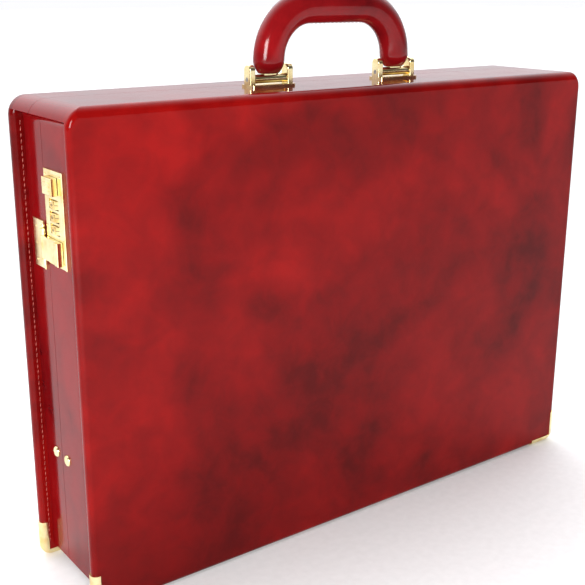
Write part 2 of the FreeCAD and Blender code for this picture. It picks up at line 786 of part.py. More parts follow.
def lock_button(side):
    """Make the sliding button: thumb block outside, stem through the slot and a foot behind."""
    sign = MIRROR[side]
    name = "lock_button_" + side
    play = "0.3"
    block_x = side_span(sign, add(PLATE_X, play), add(PLATE_X, cell("button_proud")))
    thumb = block(name + "_thumb", block_x, span(PLATE_Y, cell("button_width")), span(BUTTON_Z, cell("button_length")))
    face = sign * value(add(PLATE_X, cell("button_proud")))
    softened = fillet(name + "_soft", thumb, 0.8,
                      lambda e: abs(e.CenterOfMass.x - face) < NEAR and e.BoundBox.XLength < NEAR)
    foot_out = sub(WALL_X, play)
    stem = block(name + "_stem", side_span(sign, sub(foot_out, 0.5), add(PLATE_X, 1)),
                 span(PLATE_Y, cell("stem_width")), span(BUTTON_Z, cell("stem_length")))
    foot = block(name + "_foot", side_span(sign, sub(foot_out, cell("foot_metal")), foot_out),
                 span(PLATE_Y, "9"), span(BUTTON_Z, "6"))
    heel = block(name + "_heel", side_span(sign, sub(foot_out, cell("foot_metal"), 4), foot_out),
                 span(PLATE_Y, "6"), span(BUTTON_Z, "2"))
    return fuse(name, [softened, stem, foot, heel])


def button_spring(side):
    """Make the tube that the return spring of a button fills."""
    name = "button_spring_" + side
    sign = MIRROR[side]
    centre_x = times(sign, sub(WALL_X, cell("foot_metal"), 0.3, cell("spring_radius"), 0.4))
    low = add(BUTTON_Z, 1)
    length = sub(sub(BOX_Z[1], cell("lock_box_metal")), low)
    outer = rod(name + "_outer", "z", (centre_x, PLATE_Y, low), length, cell("spring_radius"))
    inner = rod(name + "_inner", "z", (centre_x, PLATE_Y, low), length, cell("spring_bore"))
    return cut(name, outer, [inner])


# ---------------------------------------------------------------- hasps
HASP_Y = add(SEAM, cell("hasp_line"))
HASP_X = add(WALL_X, cell("hasp_knuckle"), cell("knuckle_gap"))
FLAP_X = add(PLATE_X, 0.3)
FLAP_TOP_X = add(FLAP_X, cell("flap_metal"))
FLAP_END = sub(HASP_Y, cell("flap_reach"))


def hook_span_y():
    """Return the Y pair of the catch hook under the flap's end."""
    low = add(FLAP_END, cell("lug_width"))
    return low, add(low, cell("hook_length"))


def hasp_base(side):
    """Make the plate on the lid's side wall with the two outer knuckles."""
    sign = MIRROR[side]
    name = "hasp_base_" + side
    low_y = add(HASP_Y, cell("hasp_knuckle"), 0.4)
    plate = block(name + "_plate", side_span(sign, WALL_X, PLATE_X), (low_y, add(low_y, cell("hasp_plate_width"))),
                  span(HASP_Z, cell("hasp_plate_length")))
    outer = sign * value(PLATE_X)
    pieces = [fillet(name + "_soft", plate, 0.7,
                     lambda e: abs(e.CenterOfMass.x - outer) < NEAR and e.BoundBox.XLength < NEAR)]
    for number, way in enumerate((-1, 1)):
        middle = add(HASP_Z, times(way, add(half(cell("flap_width")), cell("knuckle_gap"), 2)))
        start = (times(sign, HASP_X), HASP_Y, sub(middle, 2))
        pieces.append(rod(f"{name}_knuckle_{number}", "z", start, "4", cell("hasp_knuckle")))
        pieces.append(block(f"{name}_web_{number}", side_span(sign, WALL_X, PLATE_X), (HASP_Y, add(low_y, 1)),
                            span(middle, "4")))
    bore = rod(name + "_bore", "z", (times(sign, HASP_X), HASP_Y, sub(HASP_Z, 15)), "30", cell("hasp_pin_radius"))
    return cut(name, fuse(name + "_body", pieces), [bore])


def hasp_pin(side):
    """Make the pin of a hasp's hinge, with a small ball head above."""
    sign = MIRROR[side]
    name = "hasp_pin_" + side
    reach = add(half(cell("flap_width")), cell("knuckle_gap"), 4)
    ball_radius = sub(cell("hasp_knuckle"), 0.3)
    pin = rod(name + "_rod", "z", (times(sign, HASP_X), HASP_Y, sub(HASP_Z, reach)), add(reach, reach, 1),
              cell("hasp_pin_radius"))
    ball = DOC.addObject("Part::Sphere", name + "_ball")
    ball.setExpression("Radius", ball_radius)
    place(ball, "x", times(sign, HASP_X))
    place(ball, "y", HASP_Y)
    place(ball, "z", add(HASP_Z, reach, ball_radius, 0.05))
    return fuse(name, [pin, ball])


def hasp_flap(side):
    """Make the flap that closes over the lock plate, with its thumb lug and catch hook."""
    sign = MIRROR[side]
    name = "hasp_flap_" + side
    z_span = span(HASP_Z, cell("flap_width"))
    knuckle = rod(name + "_knuckle", "z", (times(sign, HASP_X), HASP_Y, z_span[0]), cell("flap_width"),
                  cell("hasp_knuckle"))
    leaf = block(name + "_leaf", side_span(sign, FLAP_X, FLAP_TOP_X), (FLAP_END, HASP_Y), z_span)
    lug = block(name + "_lug", side_span(sign, FLAP_X, add(FLAP_TOP_X, cell("lug_proud"))),
                (FLAP_END, add(FLAP_END, cell("lug_width"))), z_span)
    lug_x = sign * value(add(FLAP_TOP_X, cell("lug_proud")))
    softened = fillet(name + "_lug_soft", lug, 0.8,
                      lambda e: abs(e.CenterOfMass.x - lug_x) < NEAR and e.BoundBox.XLength < NEAR)
    hook = block(name + "_hook", side_span(sign, sub(FLAP_X, cell("hook_depth")), add(FLAP_X, 0.5)), hook_span_y(),
                 span(HASP_Z, cell("hook_width")))
    bore = rod(name + "_bore", "z", (times(sign, HASP_X), HASP_Y, z_span[0]), cell("flap_width"),
               add(cell("hasp_pin_radius"), cell("running_fit")))
    return cut(name, fuse(name + "_body", [knuckle, leaf, softened, hook]), [bore])


# ---------------------------------------------------------------- lid stays
STAY_BASE_X = sub(WALL_X, RIM_INNER, cell("stay_play"))
STAY_LID_X = sub(STAY_BASE_X, cell("stay_metal"), cell("stay_play"))


def stay_arm(side, on_base):
    """Make one flat arm of a lid stay.

    Each arm is as long as its pivot is far from the hinge line, so the hinge line, the two pivots
    and the elbow are the corners of a rhombus at every opening of the lid.
    """
    sign = MIRROR[side]
    name = ("stay_arm_base_" if on_base else "stay_arm_lid_") + side
    outer = value(STAY_BASE_X if on_base else STAY_LID_X)
    metal, radius = size("stay_metal"), size("stay_width") / 2
    start_y = value(stay_line(on_base))
    elbow_y = value(SEAM)
    start_z = size("stay_height")
    elbow_z = 2 * start_z - value(HINGE_Z)
    low_x = outer - metal if sign > 0 else -outer
    length = ((elbow_y - start_y) ** 2 + (elbow_z - start_z) ** 2) ** 0.5
    direction = FreeCAD.Vector(0, elbow_y - start_y, elbow_z - start_z)
    bar = Part.makeBox(metal, 2 * radius, length, FreeCAD.Vector(0, -radius, 0))
    ends = [Part.makeCylinder(radius, metal, FreeCAD.Vector(0, 0, z), X_AXIS) for z in (0, length)]
    arm = bar.fuse(ends).removeSplitter()
    fit = size("rivet_radius") + size("running_fit")
    arm = arm.cut(Part.makeCylinder(fit, metal, FreeCAD.Vector(0, 0, 0), X_AXIS))
    if on_base:
        reach = metal + size("stay_play") + metal + 1.2
        inward = -1 if sign > 0 else 1
        foot = metal if sign > 0 else 0
        stud = Part.makeCylinder(size("rivet_radius"), reach, FreeCAD.Vector(foot, 0, length), X_AXIS * inward)
        head_x = foot + inward * (reach - 0.9)
        stud_head = Part.makeCylinder(size("rivet_head") - 1, 0.9, FreeCAD.Vector(head_x, 0, length), X_AXIS * inward)
        arm = arm.fuse([stud, stud_head]).removeSplitter()
    else:
        arm = arm.cut(Part.makeCylinder(fit, metal, FreeCAD.Vector(0, 0, length), X_AXIS))
    item = DOC.addObject("Part::Feature", name)
    item.Shape = arm
    item.Placement = FreeCAD.Placement(FreeCAD.Vector(low_x, start_y, start_z),
                                       FreeCAD.Rotation(Z_AXIS, direction))
    return item


def stay_rivets(on_base):
    """Make the pair of dome-headed rivets that a shell's stay arms turn on."""
    name = "stay_rivets_base" if on_base else "stay_rivets_lid"
    arm_x = STAY_BASE_X if on_base else STAY_LID_X
    inner = sub(arm_x, cell("stay_metal"), 0.3)
    rivets = []
    for side, sign in MIRROR.items():
        line = stay_line(on_base)
        height = cell("stay_height")
        length = sub(WALL_X, inner)
        shank = rod(f"{name}_shank_{side}", "x", (side_start(sign, inner, length), line, height), length,
                    cell("rivet_radius"))
        collar_inner = add(arm_x, 0.1)
        collar_length = sub(WALL_X, BASE_WALL, collar_inner) if on_base else \
            sub(WALL_X, LID_WALL, collar_inner)
        collar = rod(f"{name}_collar_{side}", "x", (side_start(sign, collar_inner, collar_length), line, height),
                     collar_length, add(cell("rivet_radius"), 1))
        stop = rod(f"{name}_stop_{side}", "x", (side_start(sign, sub(inner, 0.8), "0.9"), line, height), "0.9",
                   add(cell("rivet_radius"), 1.1))
        head = rod(f"{name}_head_{side}", "x", (side_start(sign, WALL_X, cell("rivet_dome")), line, height),
                   cell("rivet_dome"), cell("rivet_head"))
        face = sign * value(add(WALL_X, cell("rivet_dome")))
        dome = fillet(f"{name}_dome_{side}", head, size("rivet_dome") - 0.15,
                      lambda e, face=face: abs(e.CenterOfMass.x - face) < NEAR and e.BoundBox.XLength < NEAR)
        rivets.append(fuse(f"{name}_{side}", [shank, collar, stop, dome]))
    return group(name, rivets)


# ---------------------------------------------------------------- organiser in the lid
ORGANISER_Y = sub(add(LID_BACK, cell("leather")), cell("lining"))


def flat_pocket(name, x_span, z_span, back):
    """Make a flat pocket on the organiser board: stitched at both sides and the foot, open at the top."""
    front = sub(back, cell("pocket_thick"))
    blank = block(name + "_blank", x_span, (front, back), z_span)
    gap = block(name + "_gap", grown(x_span, times(-1, cell("pocket_seam"))), (add(front, cell("leather")), back),
                (add(z_span[0], cell("pocket_seam")), add(z_span[1], 1)))
    return cut(name, blank, [gap])


def organiser():
    """Make the document board in the lid with its file pocket and card pockets."""
    inset = cell("organiser_inset")
    x_span = span("0", times(2, sub(WALL_X, inset)))
    low_z, high_z = add(WALL_FOOT, inset), sub(TOP, inset)
    board_y = (sub(ORGANISER_Y, cell("organiser_board")), ORGANISER_Y)
    board = block("organiser_board", x_span, board_y, (low_z, high_z))
    pocket_top = add(low_z, 6, cell("pocket_height"))
    pocket = flat_pocket("file_pocket", grown(x_span, -6), (add(low_z, 6), pocket_top), board_y[0])
    card_z = (add(pocket_top, cell("card_gap")), sub(high_z, cell("card_headroom")))
    margin = cell("card_margin")
    card_width = f"({sub(sub(x_span[1], x_span[0]), times(4, margin))} / 3)"
    cards = []
    for number in (-1, 0, 1):
        centre = times(number, add(card_width, margin))
        cards.append(flat_pocket(f"card_pocket_{number + 2}", span(centre, card_width), card_z, board_y[0]))
    return [board, pocket, group("card_pockets", cards)]


# ---------------------------------------------------------------- the whole case
def build():
    """Build every piece and return the finished nodes."""
    nodes = shell("base", True) + shell("lid", False)
    nodes.append(rim_strip())
    for side in MIRROR:
        nodes.append(metal_corner("corner_base_" + side, side, True))
        nodes.append(metal_corner("corner_lid_" + side, side, False))
        nodes += [handle_bracket(side), handle_eye(side)]
        nodes += [lock_plate(side), lock_box(side), dial_shaft(side), lock_button(side), button_spring(side)]
        nodes += [dial(side, number) for number in DIALS]
        nodes += [hasp_base(side), hasp_flap(side)]
        nodes += [stay_arm(side, True), stay_arm(side, False)]
    nodes.append(group("handle_pins", [handle_pin(side) for side in MIRROR]))
    nodes.append(group("hasp_pins", [hasp_pin(side) for side in MIRROR]))
    nodes += [hinge_leaf("hinge_leaf_base", False), hinge_leaf("hinge_leaf_lid", True)]
    nodes.append(rod("hinge_pin", "x", (times(-0.5, HINGE_LENGTH), SEAM, HINGE_Z), HINGE_LENGTH,
                     cell("hinge_pin_radius")))
    nodes.append(group("hinge_screws_base", hinge_screws("base_screw", False)))
    nodes.append(group("hinge_screws_lid", hinge_screws("lid_screw", True)))
    nodes += handle_grip()
    nodes.append(handle_backplate())
    nodes += [stay_rivets(True), stay_rivets(False)]
    nodes += organiser()
    return nodes


def export(nodes):
    """Check every object and write each node to its own file."""
    DOC.recompute()
    for item in DOC.Objects:
        if "Invalid" in item.State or "Error" in item.State:
            raise RuntimeError(f"{item.Name} failed to build")
    for item in nodes:
        if item.Shape.isNull() or not item.Shape.isValid() or not item.Shape.Solids:
            raise RuntimeError(f"{item.Label} has no valid solid")
    os.makedirs("parts", exist_ok=True)
    for item in nodes:
        item.Shape.exportStep(os.path.join("parts", item.Label + ".step"))
        box = item.Shape.BoundBox
        print(f"{item.Label:24s} solids {len(item.Shape.Solids):2d} volume {item.Shape.Volume:12.1f} "
              f"x {box.XMin:8.2f} {box.XMax:8.2f} y {box.YMin:7.2f} {box.YMax:7.2f} z {box.ZMin:7.2f} {box.ZMax:7.2f}")
    print(len(nodes), "nodes")


export(build())
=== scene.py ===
"""Looks of a hard-sided leather attache case, built round its packed mechanical model.

The cowhide, brass, steel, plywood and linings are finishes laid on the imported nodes.  The padded
handle cover, the saddle stitching, the wheel numbers and the small brass details are new pieces.
"""

import logging
import math
from dataclasses import dataclass, field
from enum import Enum
from typing import Any, Callable

import bpy
from mathutils import Matrix, Vector


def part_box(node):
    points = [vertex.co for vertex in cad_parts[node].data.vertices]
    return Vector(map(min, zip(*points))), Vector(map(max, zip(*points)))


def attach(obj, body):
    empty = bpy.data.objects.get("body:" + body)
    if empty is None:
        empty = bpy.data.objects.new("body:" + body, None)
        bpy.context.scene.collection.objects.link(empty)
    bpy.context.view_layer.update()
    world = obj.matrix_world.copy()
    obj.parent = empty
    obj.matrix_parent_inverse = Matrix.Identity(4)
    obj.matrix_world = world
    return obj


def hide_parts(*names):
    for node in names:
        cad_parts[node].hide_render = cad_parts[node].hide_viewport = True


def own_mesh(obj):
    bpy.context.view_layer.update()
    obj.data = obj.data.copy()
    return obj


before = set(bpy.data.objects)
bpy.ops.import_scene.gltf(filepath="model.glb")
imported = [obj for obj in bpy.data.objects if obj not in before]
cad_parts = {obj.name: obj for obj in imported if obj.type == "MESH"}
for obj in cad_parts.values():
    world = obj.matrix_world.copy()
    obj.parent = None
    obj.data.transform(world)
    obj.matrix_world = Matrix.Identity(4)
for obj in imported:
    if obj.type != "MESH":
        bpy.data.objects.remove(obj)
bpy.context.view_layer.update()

LOG = logging.getLogger("attache_case")
MM = 0.001
SIDES = {"left": -1, "right": 1}
WAVE_RATE = 10  # radians of a diagonal wave texture for each unit along an axis
DIGITS = 10
DIGIT_DEG = 360 / DIGITS


# ------------------------------------------------------------------------------ colour and nodes
def linear(code: str) -> tuple[float, float, float, float]:
    """Turn an sRGB hex code into a linear colour.

    Args:
        code: six hex digits.

    Returns:
        Red, green, blue and an alpha of one.
    """
    shares = [int(code[i:i + 2], 16) / 255 for i in (0, 2, 4)]
    bent = [c / 12.92 if c <= 0.04045 else ((c + 0.055) / 1.055) ** 2.4 for c in shares]
    return (bent[0], bent[1], bent[2], 1.0)


def per_metre(size_mm: float) -> float:
    """Return how often a size in millimetres fits in a metre, which is a texture's scale."""
    return 1000 / size_mm


def add_node(tree: bpy.types.NodeTree, kind: str, settings: dict[str, Any] | None = None,
             **sockets: Any) -> bpy.types.Node:
    """Add a node with its settings, and link or fill its sockets.

    Args:
        tree: the node tree to add to.
        kind: the node's type name.
        settings: attributes of the node.
        sockets: one entry per input; spaces in the socket's name are written as underscores, and a
            number after "in" picks an input by its place.

    Returns:
        The new node.
    """
    node = tree.nodes.new(kind)
    for key, value in (settings or {}).items():
        setattr(node, key, value)
    for key, value in sockets.items():
        socket = node.inputs[int(key[2:])] if key[:2] == "in" and key[2:].isdigit() \
            else node.inputs[key.replace("_", " ")]
        if isinstance(value, bpy.types.NodeSocket):
            tree.links.new(value, socket)
        else:
            socket.default_value = value
    return node


def set_ramp(ramp: bpy.types.Node, stops: list[tuple[float, str]]) -> None:
    """Fill a colour ramp.

    Args:
        ramp: the ramp node.
        stops: pairs of place and hex code, in order.
    """
    elements = ramp.color_ramp.elements
    while len(elements) < len(stops):
        elements.new(0.5)
    for element, (place, code) in zip(elements, stops):
        element.position = place
        element.color = linear(code)


# ------------------------------------------------------------------------------ finishes
@dataclass(frozen=True)
class Finish:
    """A surface finish that can be laid on a piece."""

    name: str

    def material(self) -> bpy.types.Material:
        """Return the finish's material, made once."""
        known = bpy.data.materials.get(self.name)
        if known is not None:
            return known
        made = bpy.data.materials.new(self.name)
        made.use_nodes = True
        tree = made.node_tree
        tree.nodes.clear()
        shader = add_node(tree, "ShaderNodeBsdfPrincipled")
        add_node(tree, "ShaderNodeOutputMaterial", Surface=shader.outputs["BSDF"])
        self.dress(tree, shader)
        return made

    def dress(self, tree: bpy.types.NodeTree, shader: bpy.types.Node) -> None:
        """Wire the finish's own nodes into the shader."""
        raise NotImplementedError

    def lay_on(self, piece: bpy.types.Object) -> None:
        """Give a piece this finish all over."""
        piece.data.materials.clear()
        piece.data.materials.append(self.material())


@dataclass(frozen=True)
class GlazedCowhide(Finish):
    """Vegetable-tanned cowhide, hand-stained burgundy and glazed.

    The stain pools in clouds a hand wide, with smaller blots inside them, and the glaze lies over
    it like lacquer, so edges and corners catch long clean highlights.
    """

    dark: str = "500404"
    middle: str = "6E0606"
    bright: str = "880C0A"
    cloud_mm: float = 110.0
    blot_mm: float = 20.0
    pore_mm: float = 1.3
    swell_mm: float = 34.0
    swell_relief_mm: float = 0.4
    roughness: float = 0.10
    relief_mm: float = 0.03
    glaze_ior: float = 1.22

    def dress(self, tree: bpy.types.NodeTree, shader: bpy.types.Node) -> None:
        """Wire the clouds of stain, the pores and the glaze."""
        place = add_node(tree, "ShaderNodeTexCoord").outputs["Object"]
        cloud = add_node(tree, "ShaderNodeTexNoise", Vector=place, Scale=per_metre(self.cloud_mm), Detail=3.0,
                         Roughness=0.5, Distortion=0.8)
        blot = add_node(tree, "ShaderNodeTexNoise", Vector=place, Scale=per_metre(self.blot_mm), Detail=5.0,
                        Roughness=0.6, Distortion=0.4)
        blend = add_node(tree, "ShaderNodeMix", {"data_type": "FLOAT"}, Factor=0.28,
                         in2=cloud.outputs["Fac"], in3=blot.outputs["Fac"])
        stain = add_node(tree, "ShaderNodeValToRGB", Fac=blend.outputs[0])
        set_ramp(stain, [(0.36, self.dark), (0.50, self.middle), (0.66, self.bright)])
        tree.links.new(stain.outputs["Color"], shader.inputs["Base Color"])

        pores = add_node(tree, "ShaderNodeTexVoronoi", {"feature": "SMOOTH_F1"}, Vector=place,
                         Scale=per_metre(self.pore_mm), Smoothness=0.6)
        swell = add_node(tree, "ShaderNodeTexNoise", Vector=place, Scale=per_metre(self.swell_mm), Detail=1.0)
        fine = add_node(tree, "ShaderNodeBump", Strength=0.06, Distance=self.relief_mm * MM,
                        Height=pores.outputs["Distance"])
        bump = add_node(tree, "ShaderNodeBump", Strength=0.15, Distance=self.swell_relief_mm * MM,
                        Height=swell.outputs["Fac"],
                        Normal=fine.outputs["Normal"])
        tree.links.new(bump.outputs["Normal"], shader.inputs["Normal"])
        wear = add_node(tree, "ShaderNodeMapRange", Value=blot.outputs["Fac"],
                        **{"From_Min": 0.3, "From_Max": 0.7, "To_Min": self.roughness - 0.04,
                           "To_Max": self.roughness + 0.06})
        tree.links.new(wear.outputs["Result"], shader.inputs["Roughness"])
        shader.inputs["IOR"].default_value = self.glaze_ior


@dataclass(frozen=True)
class PolishedBrass(Finish):
    """Rolled brass sheet and turned brass, buffed bright and lacquered.

    Buffing leaves faint lines a fraction of a millimetre apart, and the lacquer keeps it pale gold.
    """

    light: str = "F6E6B4"
    deep: str = "E2C684"
    roughness: float = 0.18
    line_mm: float = 0.5
    tarnish_mm: float = 9.0

    def dress(self, tree: bpy.types.NodeTree, shader: bpy.types.Node) -> None:
        """Wire the tarnish clouds and the buffing lines."""
        place = add_node(tree, "ShaderNodeTexCoord").outputs["Object"]
        cloud = add_node(tree, "ShaderNodeTexNoise", Vector=place, Scale=per_metre(self.tarnish_mm),
                         Detail=3.0)
        tone = add_node(tree, "ShaderNodeValToRGB", Fac=cloud.outputs["Fac"])
        set_ramp(tone, [(0.3, self.deep), (0.6, self.light)])
        tree.links.new(tone.outputs["Color"], shader.inputs["Base Color"])
        stretched = add_node(tree, "ShaderNodeMapping", Vector=place)
        stretched.inputs["Scale"].default_value = (1.0, 1.0, 0.08)
        lines = add_node(tree, "ShaderNodeTexNoise", Vector=stretched.outputs["Vector"],
                         Scale=per_metre(self.line_mm), Detail=2.0)
        bump = add_node(tree, "ShaderNodeBump", Strength=0.08, Distance=0.02 * MM,
                        Height=lines.outputs["Fac"])
        tree.links.new(bump.outputs["Normal"], shader.inputs["Normal"])
        rough = add_node(tree, "ShaderNodeMapRange", Value=cloud.outputs["Fac"],
                         **{"To_Min": self.roughness - 0.05, "To_Max": self.roughness + 0.08})
        tree.links.new(rough.outputs["Result"], shader.inputs["Roughness"])
        shader.inputs["Metallic"].default_value = 1.0


@dataclass(frozen=True)
class NickelledSteel(Finish):
    """Pressed mild steel with a dull nickel plate: grey, even, faintly streaked by rolling."""

    tone: str = "B9B7B2"
    shade: str = "94928D"
    roughness: float = 0.34
    streak_mm: float = 1.2

    def dress(self, tree: bpy.types.NodeTree, shader: bpy.types.Node) -> None:
        """Wire the rolling streaks."""
        place = add_node(tree, "ShaderNodeTexCoord").outputs["Object"]
        streak = add_node(tree, "ShaderNodeMapping", Vector=place)
        streak.inputs["Scale"].default_value = (1.0, 0.1, 1.0)
        grain = add_node(tree, "ShaderNodeTexNoise", Vector=streak.outputs["Vector"],
                         Scale=per_metre(self.streak_mm), Detail=3.0)
        tone = add_node(tree, "ShaderNodeValToRGB", Fac=grain.outputs["Fac"])
        set_ramp(tone, [(0.2, self.shade), (0.8, self.tone)])
        tree.links.new(tone.outputs["Color"], shader.inputs["Base Color"])
        bump = add_node(tree, "ShaderNodeBump", Strength=0.2, Distance=0.03 * MM, Height=grain.outputs["Fac"])
        tree.links.new(bump.outputs["Normal"], shader.inputs["Normal"])
        shader.inputs["Metallic"].default_value = 1.0
        shader.inputs["Roughness"].default_value = self.roughness


@dataclass(frozen=True)
class BirchPly(Finish):
    """Rotary-cut birch plywood: pale, with long wandering grain, sanded and left bare."""

    pale: str = "D9B98C"
    grain: str = "B08A58"
    ring_mm: float = 6.0
    roughness: float = 0.7

    def dress(self, tree: bpy.types.NodeTree, shader: bpy.types.Node) -> None:
        """Wire the grain."""
        place = add_node(tree, "ShaderNodeTexCoord").outputs["Object"]
        along = add_node(tree, "ShaderNodeMapping", Vector=place)
        along.inputs["Scale"].default_value = (0.12, 1.0, 1.0)
        rings = add_node(tree, "ShaderNodeTexNoise", Vector=along.outputs["Vector"],
                         Scale=per_metre(self.ring_mm),
                         Detail=6.0, Distortion=1.2)
        tone = add_node(tree, "ShaderNodeValToRGB", Fac=rings.outputs["Fac"])
        set_ramp(tone, [(0.35, self.grain), (0.62, self.pale)])
        tree.links.new(tone.outputs["Color"], shader.inputs["Base Color"])
        bump = add_node(tree, "ShaderNodeBump", Strength=0.3, Distance=0.1 * MM, Height=rings.outputs["Fac"])
        tree.links.new(bump.outputs["Normal"], shader.inputs["Normal"])
        shader.inputs["Roughness"].default_value = self.roughness


@dataclass(frozen=True)
class Suedette(Finish):
    """Warp-knitted polyester with a brushed nap: brown, matt, lighter where the nap catches light."""

    dark: str = "2E1A12"
    light: str = "5A382A"
    nap_mm: float = 1.6
    stroke_mm: float = 45.0
    roughness: float = 0.95

    def dress(self, tree: bpy.types.NodeTree, shader: bpy.types.Node) -> None:
        """Wire the stroked nap and its sheen."""
        place = add_node(tree, "ShaderNodeTexCoord").outputs["Object"]
        strokes = add_node(tree, "ShaderNodeTexNoise", Vector=place, Scale=per_metre(self.stroke_mm),
                           Detail=4.0, Distortion=0.6)
        nap = add_node(tree, "ShaderNodeTexNoise", Vector=place, Scale=per_metre(self.nap_mm), Detail=4.0,
                       Roughness=0.8)
        mixed = add_node(tree, "ShaderNodeMix", {"data_type": "FLOAT"}, Factor=0.55,
                         in2=strokes.outputs["Fac"],
                         in3=nap.outputs["Fac"])
        tone = add_node(tree, "ShaderNodeValToRGB", Fac=mixed.outputs[0])
        set_ramp(tone, [(0.36, self.dark), (0.62, self.light)])
        tree.links.new(tone.outputs["Color"], shader.inputs["Base Color"])
        bump = add_node(tree, "ShaderNodeBump", Strength=0.6, Distance=0.25 * MM, Height=nap.outputs["Fac"])
        tree.links.new(bump.outputs["Normal"], shader.inputs["Normal"])
        shader.inputs["Roughness"].default_value = self.roughness
        shader.inputs["Sheen Weight"].default_value = 0.35
        shader.inputs["Sheen Roughness"].default_value = 0.4


@dataclass(frozen=True)
class BridleLeather(Finish):
    """Waxed split leather with a printed pebble grain about two millimetres across."""

    dark: str = "3B1710"
    light: str = "642A1C"
    pebble_mm: float = 2.0
    cloud_mm: float = 60.0
    roughness: float = 0.45

    def dress(self, tree: bpy.types.NodeTree, shader: bpy.types.Node) -> None:
        """Wire the pebbles and their wax."""
        place = add_node(tree, "ShaderNodeTexCoord").outputs["Object"]
        pebbles = add_node(tree, "ShaderNodeTexVoronoi", Vector=place, Scale=per_metre(self.pebble_mm))
        cloud = add_node(tree, "ShaderNodeTexNoise", Vector=place, Scale=per_metre(self.cloud_mm), Detail=4.0)
        mixed = add_node(tree, "ShaderNodeMix", {"data_type": "FLOAT"}, Factor=0.35, in2=cloud.outputs["Fac"],
                         in3=pebbles.outputs["Distance"])
        tone = add_node(tree, "ShaderNodeValToRGB", Fac=mixed.outputs[0])
        set_ramp(tone, [(0.3, self.dark), (0.6, self.light)])
        tree.links.new(tone.outputs["Color"], shader.inputs["Base Color"])
        bump = add_node(tree, "ShaderNodeBump", {"invert": True}, Strength=0.4, Distance=0.2 * MM,
                        Height=pebbles.outputs["Distance"])
        tree.links.new(bump.outputs["Normal"], shader.inputs["Normal"])
        shader.inputs["Roughness"].default_value = self.roughness


@dataclass(frozen=True)
class WaxedThread(Finish):
    """Waxed linen thread of three plies: the twist shows as slanting bands along each stitch, with painted
    shade darkening the grooves between the plies.
    """

    light: str = "B4584C"
    # dark is painted shade: the colour of the grooves between the plies
    dark: str = "803028"
    band_mm: float = 3.2
    roughness: float = 0.6

    def dress(self, tree: bpy.types.NodeTree, shader: bpy.types.Node) -> None:
        """Wire the twist of the plies and the painted shade in their grooves."""
        place = add_node(tree, "ShaderNodeTexCoord").outputs["Object"]
        twist = add_node(tree, "ShaderNodeTexWave", {"bands_direction": "DIAGONAL"}, Vector=place,
                         Scale=2 * math.pi / WAVE_RATE * per_metre(self.band_mm))
        # painted shade: the ramp darkens the low parts of the twist wave, which are the grooves between the
        # plies
        tone = add_node(tree, "ShaderNodeValToRGB", Fac=twist.outputs["Fac"])
        set_ramp(tone, [(0.2, self.dark), (0.7, self.light)])
        tree.links.new(tone.outputs["Color"], shader.inputs["Base Color"])
        bump = add_node(tree, "ShaderNodeBump", Strength=0.5, Distance=0.1 * MM, Height=twist.outputs["Fac"])
        tree.links.new(bump.outputs["Normal"], shader.inputs["Normal"])
        shader.inputs["Roughness"].default_value = self.roughness


@dataclass(frozen=True)
class AnodisedAluminium(Finish):
    """Extruded aluminium strip, etched and anodised pale gold: satin, with fine lines along it."""

    tone: str = "D8C69A"
    shade: str = "B5A377"
    line_mm: float = 0.6
    roughness: float = 0.38

    def dress(self, tree: bpy.types.NodeTree, shader: bpy.types.Node) -> None:
        """Wire the drawing lines of the die."""
        place = add_node(tree, "ShaderNodeTexCoord").outputs["Object"]
        drawn = add_node(tree, "ShaderNodeMapping", Vector=place)
        drawn.inputs["Scale"].default_value = (0.05, 1.0, 0.05)
        lines = add_node(tree, "ShaderNodeTexNoise", Vector=drawn.outputs["Vector"],
                         Scale=per_metre(self.line_mm),
                         Detail=2.0)
        bump = add_node(tree, "ShaderNodeBump", Strength=0.15, Distance=0.03 * MM,
                        Height=lines.outputs["Fac"])
        tree.links.new(bump.outputs["Normal"], shader.inputs["Normal"])
        shade = add_node(tree, "ShaderNodeValToRGB", Fac=lines.outputs["Fac"])
        set_ramp(shade, [(0.3, self.shade), (0.7, self.tone)])
        tree.links.new(shade.outputs["Color"], shader.inputs["Base Color"])
        shader.inputs["Metallic"].default_value = 1.0
        shader.inputs["Roughness"].default_value = self.roughness


@dataclass(frozen=True)
class MouldedNylon(Finish):
    """Injection-moulded nylon straight from a spark-eroded tool: a soft even texture, satin."""

    tone: str = "2A2725"
    shade: str = "1E1C1A"
    spark_mm: float = 0.7
    roughness: float = 0.5

    def dress(self, tree: bpy.types.NodeTree, shader: bpy.types.Node) -> None:
        """Wire the spark-eroded texture."""
        place = add_node(tree, "ShaderNodeTexCoord").outputs["Object"]
        spark = add_node(tree, "ShaderNodeTexNoise", Vector=place, Scale=per_metre(self.spark_mm), Detail=2.0)
        tone = add_node(tree, "ShaderNodeValToRGB", Fac=spark.outputs["Fac"])
        set_ramp(tone, [(0.3, self.shade), (0.7, self.tone)])
        tree.links.new(tone.outputs["Color"], shader.inputs["Base Color"])
        bump = add_node(tree, "ShaderNodeBump", Strength=0.3, Distance=0.05 * MM, Height=spark.outputs["Fac"])
        tree.links.new(bump.outputs["Normal"], shader.inputs["Normal"])
        shader.inputs["Roughness"].default_value = self.roughness


@dataclass(frozen=True)
class StovedEnamel(Finish):
    """Stoved enamel wiped into an engraving: near black, slightly uneven, low gloss."""

    tone: str = "3A2A18"
    wiped: str = "5A4630"
    wipe_mm: float = 1.5
    roughness: float = 0.42

    def dress(self, tree: bpy.types.NodeTree, shader: bpy.types.Node) -> None:
        """Wire the uneven wipe of the enamel."""
        place = add_node(tree, "ShaderNodeTexCoord").outputs["Object"]
        wipe = add_node(tree, "ShaderNodeTexNoise", Vector=place, Scale=per_metre(self.wipe_mm), Detail=2.0)
        tone = add_node(tree, "ShaderNodeValToRGB", Fac=wipe.outputs["Fac"])
        set_ramp(tone, [(0.35, self.tone), (0.75, self.wiped)])
        tree.links.new(tone.outputs["Color"], shader.inputs["Base Color"])
        shader.inputs["Roughness"].default_value = self.roughness


